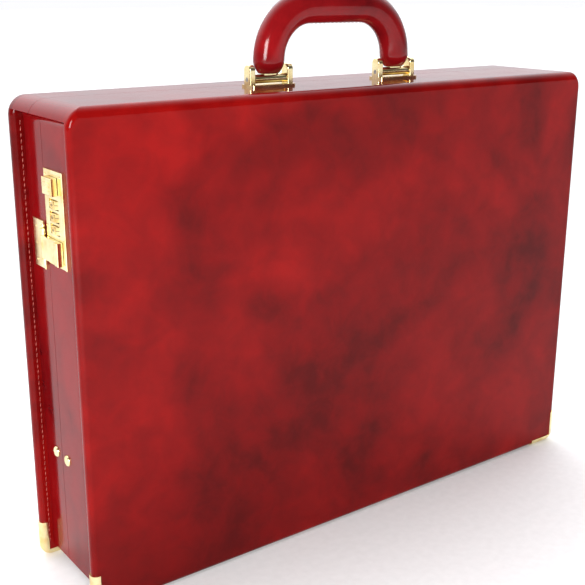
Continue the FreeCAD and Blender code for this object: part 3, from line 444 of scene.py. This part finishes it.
@dataclass(frozen=True)
class StudioPaper(Finish):
    """Seamless background paper: white, matt, with a barely visible fibre."""

    tone: str = "F4F4F3"
    shade: str = "EFEFEE"
    fibre_mm: float = 6.0
    roughness: float = 0.9

    def dress(self, tree: bpy.types.NodeTree, shader: bpy.types.Node) -> None:
        """Wire the fibre of the paper."""
        place = add_node(tree, "ShaderNodeTexCoord").outputs["Object"]
        fibre = add_node(tree, "ShaderNodeTexNoise", Vector=place, Scale=per_metre(self.fibre_mm), Detail=2.0)
        tone = add_node(tree, "ShaderNodeValToRGB", Fac=fibre.outputs["Fac"])
        set_ramp(tone, [(0.3, self.shade), (0.7, self.tone)])
        tree.links.new(tone.outputs["Color"], shader.inputs["Base Color"])
        shader.inputs["Roughness"].default_value = self.roughness


class Finishes(Enum):
    """Every finish of the case, one for each real material and making."""

    PANEL_HIDE = GlazedCowhide("glazed_cowhide_panel")
    WALL_HIDE = GlazedCowhide("glazed_cowhide_wall", dark="540408", middle="700609", bright="820A0C",
                              cloud_mm=150.0)
    GRIP_HIDE = GlazedCowhide("glazed_cowhide_grip", dark="54080C", middle="740C10", bright="8C1014",
                              cloud_mm=60.0, roughness=0.11, glaze_ior=1.32)
    BRASS = PolishedBrass("polished_lacquered_brass")
    WHEEL_BRASS = PolishedBrass("turned_brass_wheel", light="F2DDA0", deep="D0AA62", roughness=0.22,
                                line_mm=0.3)
    STEEL = NickelledSteel("nickelled_pressed_steel")
    COIL_STEEL = NickelledSteel("drawn_spring_wire", tone="A9A7A2", shade="75736F", roughness=0.28)
    PLY = BirchPly("birch_plywood")
    LINING = Suedette("brushed_suedette")
    ORGANISER = BridleLeather("waxed_split_leather")
    # both threads carry painted shade, darker in the grooves between their plies
    THREAD = WaxedThread("waxed_linen_thread")
    BROWN_THREAD = WaxedThread("waxed_brown_thread", light="A9805C", dark="6E4A30")
    RIM = AnodisedAluminium("anodised_aluminium_strip")
    CORE = MouldedNylon("moulded_nylon_core")
    ENAMEL = StovedEnamel("stoved_enamel_fill")
    PAPER = StudioPaper("seamless_paper")


# ------------------------------------------------------------------------------ bench work
Chooser = Callable[[Any], bool]


def anything(_: Any) -> bool:
    """Choose every face or every edge."""
    return True


class Bench:
    """Modelling moves that the pieces share, done as by hand in object and edit mode."""

    @staticmethod
    def clear() -> None:
        """Leave edit mode and select nothing."""
        if bpy.context.object is not None and bpy.context.object.mode != "OBJECT":
            bpy.ops.object.mode_set(mode="OBJECT")
        bpy.ops.object.select_all(action="DESELECT")

    @staticmethod
    def hold(piece: bpy.types.Object) -> None:
        """Select one piece alone and make it active."""
        Bench.clear()
        piece.select_set(True)
        bpy.context.view_layer.objects.active = piece

    @staticmethod
    def pick(piece: bpy.types.Object, faces: Chooser | None = None, edges: Chooser | None = None) -> None:
        """Select faces or edges of a piece in edit mode by a test.

        Args:
            piece: the piece, which is left in edit mode.
            faces: a test of a face; its faces are selected.
            edges: a test of an edge's middle; its edges are selected.
        """
        Bench.hold(piece)
        bpy.ops.object.mode_set(mode="EDIT")
        bpy.ops.mesh.select_mode(type="FACE" if faces else "EDGE")
        bpy.ops.mesh.select_all(action="DESELECT")
        bpy.ops.object.mode_set(mode="OBJECT")
        mesh = piece.data
        if faces:
            for face in mesh.polygons:
                face.select = faces(face)
        if edges:
            for edge in mesh.edges:
                ends = [mesh.vertices[i].co for i in edge.vertices]
                edge.select = edges((ends[0] + ends[1]) / 2)
        bpy.ops.object.mode_set(mode="EDIT")

    @staticmethod
    def settle(piece: bpy.types.Object, name: str, smooth_deg: float = 40.0) -> bpy.types.Object:
        """Bring a piece to the origin with its place in its mesh, name it and smooth it.

        Args:
            piece: the piece.
            name: its name.
            smooth_deg: edges flatter than this are shaded smooth.

        Returns:
            The same piece.
        """
        Bench.hold(piece)
        bpy.ops.object.transform_apply(location=True, rotation=True, scale=True)
        bpy.ops.object.mode_set(mode="EDIT")
        bpy.ops.mesh.select_all(action="SELECT")
        bpy.ops.mesh.remove_doubles(threshold=0.000001)
        bpy.ops.mesh.normals_make_consistent(inside=False)
        bpy.ops.object.mode_set(mode="OBJECT")
        bpy.ops.object.shade_smooth_by_angle(angle=math.radians(smooth_deg))
        piece.name = name
        piece.data.name = name
        return piece

    @staticmethod
    def copies(model: bpy.types.Object, places: list[Matrix]) -> bpy.types.Object:
        """Copy a model to many places, each with its own mesh, and join them to one piece.

        Args:
            model: the model, at the origin; it is used up.
            places: a transform for each copy.

        Returns:
            The joined piece.
        """
        made = []
        for place in places:
            twin = model.copy()
            twin.data = model.data.copy()
            bpy.context.collection.objects.link(twin)
            twin.matrix_world = place
            made.append(twin)
        bpy.data.objects.remove(model)
        Bench.clear()
        for twin in made:
            twin.select_set(True)
        bpy.context.view_layer.objects.active = made[0]
        bpy.ops.object.transform_apply(location=True, rotation=True, scale=True)
        if len(made) > 1:
            bpy.ops.object.join()
        return made[0]

    @staticmethod
    def join(pieces: list[bpy.types.Object]) -> bpy.types.Object:
        """Join several pieces into the first of them."""
        Bench.clear()
        for piece in pieces:
            piece.select_set(True)
        bpy.context.view_layer.objects.active = pieces[0]
        bpy.ops.object.join()
        return pieces[0]


def mount(piece: bpy.types.Object, body: str, finish: Finishes) -> None:
    """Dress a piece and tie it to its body.

    Args:
        piece: the finished piece.
        body: the body it moves with.
        finish: its finish.
    """
    finish.value.lay_on(piece)
    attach(piece, body)
    LOG.info("%s: %d faces, on %s", piece.name, len(piece.data.polygons), body)


# ------------------------------------------------------------------------------ stitching
@dataclass
class Stitch:
    """One saddle stitch: a short plump thread whose ends dip into their holes."""

    length: float = 3.0
    width: float = 0.55
    height: float = 0.45
    slant_deg: float = 7.0

    def model(self) -> bpy.types.Object:
        """Model the stitch at the origin, along X, standing out along Z."""
        bpy.ops.mesh.primitive_uv_sphere_add(segments=6, ring_count=6, radius=0.5 * MM)
        stitch = bpy.context.object
        Bench.pick(stitch, faces=anything)
        bpy.ops.transform.rotate(value=math.pi / 2, orient_axis="Y", center_override=(0, 0, 0))
        bpy.ops.transform.resize(value=(self.length, self.width, self.height))
        bpy.ops.transform.rotate(value=math.radians(self.slant_deg), orient_axis="Z",
                                 center_override=(0, 0, 0))
        bpy.ops.object.mode_set(mode="OBJECT")
        return stitch


@dataclass
class StitchRuns:
    """Rows of saddle stitching along straight lines, joined to one piece."""

    name: str
    body: str
    pitch: float = 4.0
    stitch: Stitch = field(default_factory=Stitch)
    finish: Finishes = Finishes.THREAD
    slot: str = "panel_leather"
    places: list[Matrix] = field(default_factory=list)

    def row(self, start: tuple[float, float, float], end: tuple[float, float, float],
            out: tuple[float, float, float]) -> None:
        """Add a straight row.

        Args:
            start: one end, in millimetres.
            end: the other end, in millimetres.
            out: the way the stitched surface faces.
        """
        first, last = Vector(start), Vector(end)
        along = (last - first).normalized()
        normal = Vector(out).normalized()
        turn = Matrix((along, normal.cross(along), normal)).transposed().to_4x4()
        count = max(2, int((last - first).length / self.pitch))
        step = (last - first) / count
        for number in range(count):
            centre = (first + step * (number + 0.5)) * MM
            self.places.append(Matrix.Translation(centre) @ turn)

    def build(self) -> bpy.types.Object:
        """Model the stitch once, copy it along every row and mount the piece."""
        piece = Bench.settle(Bench.copies(self.stitch.model(), self.places), self.name, 60)
        mount(piece, self.body, self.finish)
        return piece


@dataclass
class PanelStitching:
    """The stitched foot of both face panels, where their leather turns in against the walls."""

    wall_gap: float = 2.4
    top_gap: float = 14.0
    foot_gap: float = 9.0
    end_gap: float = 1.0

    def build(self) -> None:
        """Stitch the inner face of each panel round its two sides and its foot."""
        for shell, sign in (("base", 1), ("lid", -1)):
            panel = [Vector(corner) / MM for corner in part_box(f"{shell}_panel_leather")]
            wall = [Vector(corner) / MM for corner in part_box(f"{shell}_frame")]
            foot_z = [Vector(corner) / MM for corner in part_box(f"{shell}_wall_leather")][0].z
            side_x = wall_side() / MM
            face_y = panel[1].y if sign > 0 else panel[0].y
            out = (0, sign, 0)
            runs = StitchRuns(f"panel_stitching_{shell}", shell)
            for side in SIDES.values():
                x_place = side * (side_x + self.wall_gap)
                runs.row((x_place, face_y, foot_z + self.end_gap),
                         (x_place, face_y, wall[1].z - self.top_gap), out)
            runs.row((-side_x + self.foot_gap, face_y, foot_z - self.wall_gap),
                     (side_x - self.foot_gap, face_y, foot_z - self.wall_gap), out)
            runs.build()


def wall_side() -> float:
    """Return the distance of the side walls' outer faces from the middle, in metres."""
    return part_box("lock_plate_right")[0][0]


# ------------------------------------------------------------------------------ handle
@dataclass
class HandleCover:
    """The padded leather cover of the handle, sewn along the inside of the arch; sizes in millimetres."""

    width: float = 23.0
    thick: float = 19.0
    foot_width: float = 16.4
    foot_thick: float = 9.4
    bend: float = 35.0
    taper: float = 8.4
    steps: int = 6
    swell: float = 0.25
    swell_size: float = 18.0
    around: int = 40
    turn_steps: int = 9
    span_steps: int = 6
    edge_inset: float = 0.8
    turn_stitches: int = 12
    stitch_pitch: float = 3.6

    def rings(self) -> bpy.types.Object:
        """Extrude and spin an oval ring up, over and down the arch."""
        low, high = (Vector(corner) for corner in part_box("handle_grip"))
        centre_y = (low.y + high.y) / 2
        reach = high.x - self.width / 2 * MM
        foot = low.z
        bend = self.bend * MM
        top = high.z - self.width / 2 * MM
        bpy.ops.mesh.primitive_circle_add(vertices=self.around, radius=0.5, fill_type="NGON",
                                          location=(-reach, centre_y, foot))
        cover = bpy.context.object
        Bench.pick(cover, faces=anything)
        bpy.ops.transform.resize(value=(self.foot_width * MM, self.foot_thick * MM, 1))
        straight = top - bend - foot - self.taper * MM
        self.flare(1)
        self.grow((0, 0, straight))
        self.turn_over((-reach + bend, centre_y, top - bend))
        for _ in range(self.span_steps):
            self.grow(((2 * reach - 2 * bend) / self.span_steps, 0, 0))
        self.turn_over((reach - bend, centre_y, top - bend))
        self.grow((0, 0, -straight))
        self.flare(-1)
        bpy.ops.object.mode_set(mode="OBJECT")
        return cover

    def flare(self, way: int) -> None:
        """Carry the ring between a foot and the full section.

        Args:
            way: 1 goes up and swells, -1 goes down and narrows.
        """
        shares = [math.sin(math.pi / 2 * number / self.steps) for number in range(self.steps + 1)]
        sections = [(self.foot_width + (self.width - self.foot_width) * share,
                     self.foot_thick + (self.thick - self.foot_thick) * share) for share in shares][::way]
        for (old_x, old_y), (new_x, new_y) in zip(sections, sections[1:]):
            self.grow((0, 0, way * self.taper / self.steps * MM))
            bpy.ops.transform.resize(value=(new_x / old_x, new_y / old_y, 1))

    @staticmethod
    def grow(step: tuple[float, float, float]) -> None:
        """Extrude the selected ring by a step."""
        bpy.ops.mesh.extrude_region_move(TRANSFORM_OT_translate={"value": step})

    def turn_over(self, centre: tuple[float, float, float]) -> None:
        """Spin the selected ring a quarter turn round a centre."""
        bpy.ops.mesh.spin(steps=self.turn_steps, angle=math.pi / 2, center=centre, axis=(0, -1, 0))

    def build(self) -> None:
        """Model, swell and sew the cover."""
        cover = self.rings()
        Bench.settle(cover, "handle_cover", 180)
        Bench.pick(cover, faces=lambda face: abs(face.normal.z) > 0.9 and len(face.vertices) > 4)
        bpy.ops.mesh.inset(thickness=self.edge_inset * MM, depth=0)
        bpy.ops.object.mode_set(mode="OBJECT")
        Bench.hold(cover)
        bpy.ops.object.modifier_add(type="SUBSURF")
        cover.modifiers[-1].levels = 1
        cover.modifiers[-1].render_levels = 1
        bpy.ops.object.modifier_apply(modifier=cover.modifiers[-1].name)
        hide = bpy.data.textures.new("hide_swell", "CLOUDS")
        hide.noise_scale = self.swell_size * MM
        bpy.ops.object.modifier_add(type="DISPLACE")
        cover.modifiers[-1].texture = hide
        cover.modifiers[-1].texture_coords = "LOCAL"
        cover.modifiers[-1].strength = self.swell * MM
        cover.modifiers[-1].mid_level = 0.5
        bpy.ops.object.modifier_apply(modifier=cover.modifiers[-1].name)
        Bench.settle(cover, "handle_cover", 180)
        mount(cover, "handle", Finishes.GRIP_HIDE)
        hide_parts("handle_grip")
        self.sew()

    def sew(self) -> None:
        """Sew the cover's meeting edges along the inside of the arch."""
        low, high = (Vector(corner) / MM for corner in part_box("handle_grip"))
        centre_y = (low.y + high.y) / 2
        inner = self.bend - self.width / 2
        bend_x = high.x - self.width / 2 - self.bend
        bend_z = high.z - self.width / 2 - self.bend
        runs = StitchRuns("handle_stitching", "handle", stitch=Stitch(length=2.6, width=0.5, height=0.4),
                          slot="grip_leather")
        spots = []
        for number in range(self.turn_stitches):
            angle = math.radians(90 * (number + 0.5) / self.turn_stitches)
            for side in SIDES.values():
                spot = Vector((side * (bend_x + inner * math.cos(angle)), centre_y,
                               bend_z + inner * math.sin(angle)))
                spots.append((spot, Vector((-side * math.cos(angle), 0, -math.sin(angle)))))
        flat = int(2 * bend_x / self.stitch_pitch)
        for number in range(flat):
            x_place = -bend_x + 2 * bend_x * (number + 0.5) / flat
            spots.append((Vector((x_place, centre_y, bend_z + inner)), Vector((0, 0, -1))))
        for spot, normal in spots:
            along = Vector((0, 1, 0)).cross(normal)
            turn = Matrix((along, normal.cross(along), normal)).transposed().to_4x4()
            runs.places.append(Matrix.Translation(spot * MM) @ turn)
        runs.build()


# ------------------------------------------------------------------------------ locks and hasps
@dataclass
class LockDetail:
    """The wheels' numbers and ribs, the button's grip and spring, and a lock's pins; in millimetres."""

    side: str
    digit: float = 3.6
    rib: float = 0.9
    rib_proud: float = 0.2
    screw: float = 1.7
    wire: float = 0.4
    coil_pitch: float = 0.95
    travel: float = 2.5
    digit_proud: float = 0.06
    rib_share: float = 0.82
    rib_edge: float = 0.12
    grip_rib: tuple[float, float, float] = (0.6, 8.4, 0.9)
    grip_edge: float = 0.25
    grip_pitch: float = 2.4
    lock_pin_inset: float = 3.0
    hasp_pin_inset: float = 5.0

    @property
    def sign(self) -> int:
        """Return -1 on the left and 1 on the right."""
        return SIDES[self.side]

    def wheel(self, number: int) -> None:
        """Add the numbers 0 to 9 and the finger ribs to one wheel.

        Args:
            number: the wheel's number, counted from below.
        """
        low, high = (Vector(corner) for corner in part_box(f"dial_{self.side}_{number}"))
        centre = (low + high) / 2
        radius = (high.x - low.x) / 2
        digits = [self.number_at(str(value), centre, radius, math.radians(DIGIT_DEG * value))
                  for value in range(DIGITS)]
        numbers = Bench.settle(Bench.join(digits), f"wheel_numbers_{self.side}_{number}", 30)
        mount(numbers, f"dial_{self.side}_{number}", Finishes.ENAMEL)
        bpy.ops.mesh.primitive_cube_add(size=1)
        rib = bpy.context.object
        Bench.pick(rib, faces=anything)
        bpy.ops.transform.resize(value=(self.rib_proud * 2 * MM, self.rib * MM,
                                        (high.z - low.z) * self.rib_share))
        bpy.ops.mesh.bevel(offset=self.rib_edge * MM, segments=2)
        bpy.ops.object.mode_set(mode="OBJECT")
        turns = [math.radians(DIGIT_DEG * (value + 0.5)) for value in range(DIGITS)]
        places = [Matrix.Translation(centre) @ Matrix.Rotation(turn, 4, "Z")
                  @ Matrix.Translation((radius, 0, 0)) for turn in turns]
        ribs = Bench.settle(Bench.copies(rib, places), f"wheel_ribs_{self.side}_{number}", 40)
        mount(ribs, f"dial_{self.side}_{number}", Finishes.WHEEL_BRASS)

    def number_at(self, text: str, centre: Vector, radius: float, angle: float) -> bpy.types.Object:
        """Cut one number and lay it on the wheel's rim.

        Args:
            text: the number.
            centre: the wheel's middle.
            radius: the wheel's radius.
            angle: how far round from the outermost place.

        Returns:
            The number as a mesh.
        """
        bpy.ops.object.text_add()
        digit = bpy.context.object
        digit.data.body = text
        digit.data.size = self.digit * MM
        digit.data.extrude = self.digit_proud * MM
        digit.data.resolution_u = 2
        digit.data.align_x = "CENTER"
        digit.data.align_y = "CENTER"
        Bench.hold(digit)
        bpy.ops.object.convert(target="MESH")
        digit = bpy.context.object
        normal = Matrix.Rotation(angle, 3, "Z") @ Vector((self.sign, 0, 0))
        right = Vector((0, 0, -self.sign)) if self.sign > 0 else Vector((0, 0, 1))
        turn = Matrix((right, normal.cross(right), normal)).transposed().to_4x4()
        digit.matrix_world = Matrix.Translation(centre + normal * (radius + 0.01 * MM)) @ turn
        Bench.hold(digit)
        bpy.ops.object.transform_apply(location=True, rotation=True, scale=True)
        return digit

    def thumb_grip(self) -> None:
        """Add the three raised ribs that the thumb pushes against on the button."""
        low, high = (Vector(corner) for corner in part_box(f"lock_button_{self.side}"))
        face = high.x if self.sign > 0 else low.x
        middle = (low + high) / 2
        bpy.ops.mesh.primitive_cube_add(size=1)
        rib = bpy.context.object
        Bench.pick(rib, faces=anything)
        bpy.ops.transform.resize(value=[side * MM for side in self.grip_rib])
        bpy.ops.mesh.bevel(offset=self.grip_edge * MM, segments=3)
        bpy.ops.object.mode_set(mode="OBJECT")
        heights = [middle.z + way * self.grip_pitch * MM for way in (-1, 0, 1)]
        places = [Matrix.Translation((face, middle.y, height)) for height in heights]
        ribs = Bench.settle(Bench.copies(rib, places), f"button_ribs_{self.side}", 40)
        mount(ribs, f"lock_button_{self.side}", Finishes.BRASS)

    def spring(self) -> None:
        """Wind the button's return spring, which the button slides up against."""
        low, high = (Vector(corner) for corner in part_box(f"button_spring_{self.side}"))
        middle = (low + high) / 2
        turns = round((high.z - low.z) / (self.coil_pitch * MM))
        rise = (high.z - low.z - self.wire * MM) / turns
        bpy.ops.mesh.primitive_circle_add(vertices=8, radius=self.wire / 2 * MM)
        coil = bpy.context.object
        Bench.pick(coil, edges=anything)
        bpy.ops.transform.rotate(value=math.pi / 2, orient_axis="X", center_override=(0, 0, 0))
        bpy.ops.transform.translate(value=((high.x - low.x) / 2 - self.wire / 2 * MM, 0, self.wire / 2 * MM))
        bpy.ops.object.mode_set(mode="OBJECT")
        Bench.hold(coil)
        bpy.ops.object.modifier_add(type="SCREW")
        wind = coil.modifiers[-1]
        wind.angle = 2 * math.pi * turns
        wind.screw_offset = rise * turns
        wind.steps = wind.render_steps = 16 * turns
        bpy.ops.object.modifier_apply(modifier=wind.name)
        Bench.pick(coil, edges=lambda spot: False)
        bpy.ops.mesh.select_non_manifold()
        bpy.ops.mesh.fill_holes(sides=0)
        bpy.ops.object.mode_set(mode="OBJECT")
        coil.location = (middle.x, middle.y, low.z)
        Bench.settle(coil, f"return_spring_{self.side}", 60)
        mount(coil, "base", Finishes.COIL_STEEL)
        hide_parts(f"button_spring_{self.side}")
        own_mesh(coil)

    def screws(self) -> None:
        """Add the domed pins that fix the lock plate and the hasp plate."""
        low, high = (Vector(corner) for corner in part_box(f"lock_plate_{self.side}"))
        face = high.x if self.sign > 0 else low.x
        inset = self.lock_pin_inset * MM
        heights = (low.z + inset, high.z - inset)
        spots = [(face, y_place, z_place) for y_place in (low.y + inset, high.y - inset)
                 for z_place in heights]
        self.pins(f"lock_pins_{self.side}", "base", spots)
        low, high = (Vector(corner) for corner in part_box(f"hasp_base_{self.side}"))
        inset = self.hasp_pin_inset * MM
        heights = (low.z + inset, high.z - inset, (low.z + high.z) / 2)
        spots = [(face, high.y - inset, z_place) for z_place in heights]
        self.pins(f"hasp_pins_{self.side}_head", "lid", spots)

    def pins(self, name: str, body: str, spots: list[tuple[float, float, float]]) -> None:
        """Model a shallow domed head and set one at every spot.

        Args:
            name: the piece's name.
            body: the body it moves with.
            spots: the middles of the heads, on the plate's outer face.
        """
        bpy.ops.mesh.primitive_uv_sphere_add(segments=20, ring_count=12, radius=self.screw / 2 * MM)
        head = bpy.context.object
        Bench.pick(head, faces=anything)
        bpy.ops.transform.resize(value=(0.5, 1, 1))
        bpy.ops.mesh.bisect(plane_co=(0, 0, 0), plane_no=(self.sign, 0, 0), clear_inner=True, use_fill=True)
        bpy.ops.object.mode_set(mode="OBJECT")
        piece = Bench.settle(Bench.copies(head, [Matrix.Translation(spot) for spot in spots]), name, 50)
        mount(piece, body, Finishes.BRASS)

    def build(self) -> None:
        """Build every detail of this side's lock."""
        for number in (1, 2, 3):
            self.wheel(number)
        self.thumb_grip()
        self.spring()
        self.screws()


# ------------------------------------------------------------------------------ organiser
@dataclass
class OrganiserTrim:
    """The bound edges and brown stitching of the organiser's pockets; sizes in millimetres."""

    binding: float = 6.0
    binding_thick: float = 0.7
    edge: float = 1.6
    card_gap: float = 16.0
    sunk: float = 0.05
    foot_gap: float = 2.0
    mouth_gap: float = 1.0
    side_gap: float = 3.0
    soft_edge: float = 0.3

    def build(self) -> None:
        """Bind the mouth of each pocket and stitch its sides and foot."""
        runs = StitchRuns("pocket_stitching", "lid", pitch=4.5, finish=Finishes.BROWN_THREAD,
                          slot="organiser_leather", stitch=Stitch(length=3.3, width=0.7, height=0.45))
        low, high = (Vector(corner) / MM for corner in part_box("file_pocket"))
        pockets = [(low, high)]
        cards_low, cards_high = (Vector(corner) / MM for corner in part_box("card_pockets"))
        card = (cards_high.x - cards_low.x - 2 * self.card_gap) / 3
        for number in (-1, 0, 1):
            middle = number * (cards_high.x - cards_low.x - card) / 2
            pockets.append((Vector((middle - card / 2, cards_low.y, cards_low.z)),
                            Vector((middle + card / 2, cards_high.y, cards_high.z))))
        bindings = []
        for first, last in pockets:
            y_place = first.y - self.sunk
            for x_place in (first.x + self.edge, last.x - self.edge):
                runs.row((x_place, y_place, first.z + self.foot_gap),
                         (x_place, y_place, last.z - self.binding - self.mouth_gap), (0, -1, 0))
            runs.row((first.x + self.side_gap, y_place, first.z + self.edge),
                     (last.x - self.side_gap, y_place, first.z + self.edge), (0, -1, 0))
            bindings.append(self.bind(first, last))
        runs.build()
        strip = Bench.settle(Bench.join(bindings), "pocket_binding", 40)
        mount(strip, "lid", Finishes.ORGANISER)

    def bind(self, low: Vector, high: Vector) -> bpy.types.Object:
        """Model the soft-edged strip along one pocket's mouth.

        Args:
            low: the pocket's lowest corner, in millimetres.
            high: its highest corner, in millimetres.

        Returns:
            The strip.
        """
        centre = Vector(((low.x + high.x) / 2, low.y - self.binding_thick / 2 + self.sunk,
                         high.z - self.binding / 2))
        bpy.ops.mesh.primitive_cube_add(size=1, location=centre * MM)
        strip = bpy.context.object
        Bench.pick(strip, faces=anything)
        bpy.ops.transform.resize(value=((high.x - low.x) * MM, self.binding_thick * MM, self.binding * MM))
        bpy.ops.mesh.bevel(offset=self.soft_edge * MM, segments=3)
        bpy.ops.object.mode_set(mode="OBJECT")
        Bench.hold(strip)
        bpy.ops.object.transform_apply(location=True, rotation=True, scale=True)
        return strip


# ------------------------------------------------------------------------------ carried-over nodes
class NodeFinishes:
    """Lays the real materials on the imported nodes."""

    BY_START: list[tuple[str, Finishes]] = [
        ("base_panel_leather", Finishes.PANEL_HIDE), ("lid_panel_leather", Finishes.PANEL_HIDE),
        ("base_wall_leather", Finishes.WALL_HIDE), ("lid_wall_leather", Finishes.WALL_HIDE),
        ("base_panel_board", Finishes.PLY), ("lid_panel_board", Finishes.PLY),
        ("base_frame", Finishes.PLY), ("lid_frame", Finishes.PLY),
        ("base_lining", Finishes.LINING), ("lid_lining", Finishes.LINING),
        ("base_rim_strip", Finishes.RIM), ("handle_grip", Finishes.GRIP_HIDE),
        ("handle_core", Finishes.CORE), ("handle_pins", Finishes.STEEL),
        ("handle_backplate", Finishes.STEEL), ("handle_", Finishes.BRASS),
        ("hinge_pin", Finishes.STEEL), ("hinge_", Finishes.BRASS),
        ("lock_box", Finishes.STEEL), ("dial_shaft", Finishes.STEEL), ("dial_", Finishes.WHEEL_BRASS),
        ("button_spring", Finishes.COIL_STEEL), ("lock_", Finishes.BRASS), ("hasp_", Finishes.BRASS),
        ("corner_", Finishes.BRASS), ("stay_", Finishes.BRASS),
        ("organiser_board", Finishes.ORGANISER), ("file_pocket", Finishes.ORGANISER),
        ("card_pockets", Finishes.ORGANISER),
    ]

    def build(self) -> None:
        """Dress every node by the start of its name."""
        for name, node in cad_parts.items():
            finish = next(kind for start, kind in self.BY_START if name.startswith(start))
            finish.value.lay_on(node)
        LOG.info("dressed %d nodes", len(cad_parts))


# ------------------------------------------------------------------------------ studio
@dataclass
class Studio:
    """A pale floor, bright surroundings behind the case, one soft box and the camera; in metres."""

    eye: tuple[float, float, float] = (-0.45785, -0.57480, 0.39349)
    right: tuple[float, float, float] = (0.80493, -0.59336, 0.00386)
    down: tuple[float, float, float] = (-0.16505, -0.23015, -0.95906)
    forward: tuple[float, float, float] = (0.56995, 0.77134, -0.28319)
    lens: float = 61.65
    shift_y: float = -0.0203
    floor: float = 30.0
    bright_way: tuple[float, float, float] = (0.30, 0.95, 0.10)
    horizon: float = 1.05
    height: float = 3.4
    dim: float = 0.10
    key_place: tuple[float, float, float] = (-1.0, -1.0, 0.62)
    key_target: tuple[float, float, float] = (-0.1, 0.0, 0.18)
    key_size: float = 0.5
    key_watts: float = 23.0

    def paper(self) -> None:
        """Lay the wide floor of seamless paper."""
        bpy.ops.mesh.primitive_plane_add(size=self.floor)
        floor = Bench.settle(bpy.context.object, "seamless_paper", 60)
        Finishes.PAPER.value.lay_on(floor)

    @staticmethod
    def lamp(name: str, place: tuple[float, float, float], size: float, power: float,
             target: tuple[float, float, float]) -> None:
        """Hang a square soft box.

        Args:
            name: the light's name.
            place: where it hangs.
            size: its width.
            power: watts.
            target: the point it faces.
        """
        lamp = bpy.data.lights.new(name, "AREA")
        lamp.size = size
        lamp.energy = power
        box = bpy.data.objects.new(name, lamp)
        bpy.context.collection.objects.link(box)
        box.location = place
        box.rotation_euler = (Vector(target) - Vector(place)).to_track_quat("-Z", "Y").to_euler()

    def surroundings(self) -> None:
        """Make a room that is bright behind the case and dim in front of it, against plain white."""
        world = bpy.data.worlds.new("soft_surroundings")
        bpy.context.scene.world = world
        world.use_nodes = True
        tree = world.node_tree
        way = add_node(tree, "ShaderNodeTexCoord").outputs["Generated"]
        facing = add_node(tree, "ShaderNodeVectorMath", {"operation": "DOT_PRODUCT"}, in0=way,
                          in1=self.bright_way)
        parts = add_node(tree, "ShaderNodeSeparateXYZ", Vector=way)
        lit = add_node(tree, "ShaderNodeMapRange", Value=parts.outputs["Z"],
                       **{"From_Min": 0.14, "From_Max": 0.6, "To_Min": self.horizon, "To_Max": self.height})
        strength = add_node(tree, "ShaderNodeMapRange", {"interpolation_type": "SMOOTHSTEP"},
                            Value=facing.outputs["Value"],
                            **{"From_Min": -0.4, "From_Max": 0.7, "To_Min": self.dim,
                               "To_Max": lit.outputs["Result"]})
        seen = add_node(tree, "ShaderNodeLightPath").outputs["Is Camera Ray"]
        shown = add_node(tree, "ShaderNodeMix", {"data_type": "FLOAT"}, Factor=seen,
                         in2=strength.outputs["Result"], in3=self.horizon)
        room = tree.nodes["Background"]
        room.inputs["Color"].default_value = linear("F8F8FC")
        tree.links.new(shown.outputs[0], room.inputs["Strength"])

    def camera(self) -> None:
        """Set up the camera."""
        camera = bpy.data.cameras.new("camera")
        camera.lens = self.lens
        camera.sensor_width = 36.0
        camera.shift_y = self.shift_y
        camera.clip_end = 60.0
        eye = bpy.data.objects.new("camera", camera)
        bpy.context.collection.objects.link(eye)
        axes = Matrix((Vector(self.right), -Vector(self.down), -Vector(self.forward))).transposed()
        eye.matrix_world = Matrix.Translation(self.eye) @ axes.to_4x4()
        bpy.context.scene.camera = eye

    def build(self) -> None:
        """Set up the floor, the surroundings, the soft box and the camera."""
        self.paper()
        self.surroundings()
        self.lamp("key_box", self.key_place, self.key_size, self.key_watts, self.key_target)
        self.camera()
        bpy.context.scene.view_settings.view_transform = "Standard"


# ------------------------------------------------------------------------------ the case
def main() -> None:
    """Dress the nodes, build every new piece and set up the studio."""
    logging.basicConfig(level=logging.INFO, format="%(name)s %(message)s")
    Bench.clear()
    NodeFinishes().build()
    HandleCover().build()
    PanelStitching().build()
    for side in SIDES:
        LockDetail(side).build()
    OrganiserTrim().build()
    Studio().build()


if __name__ == "__main__":
    main()
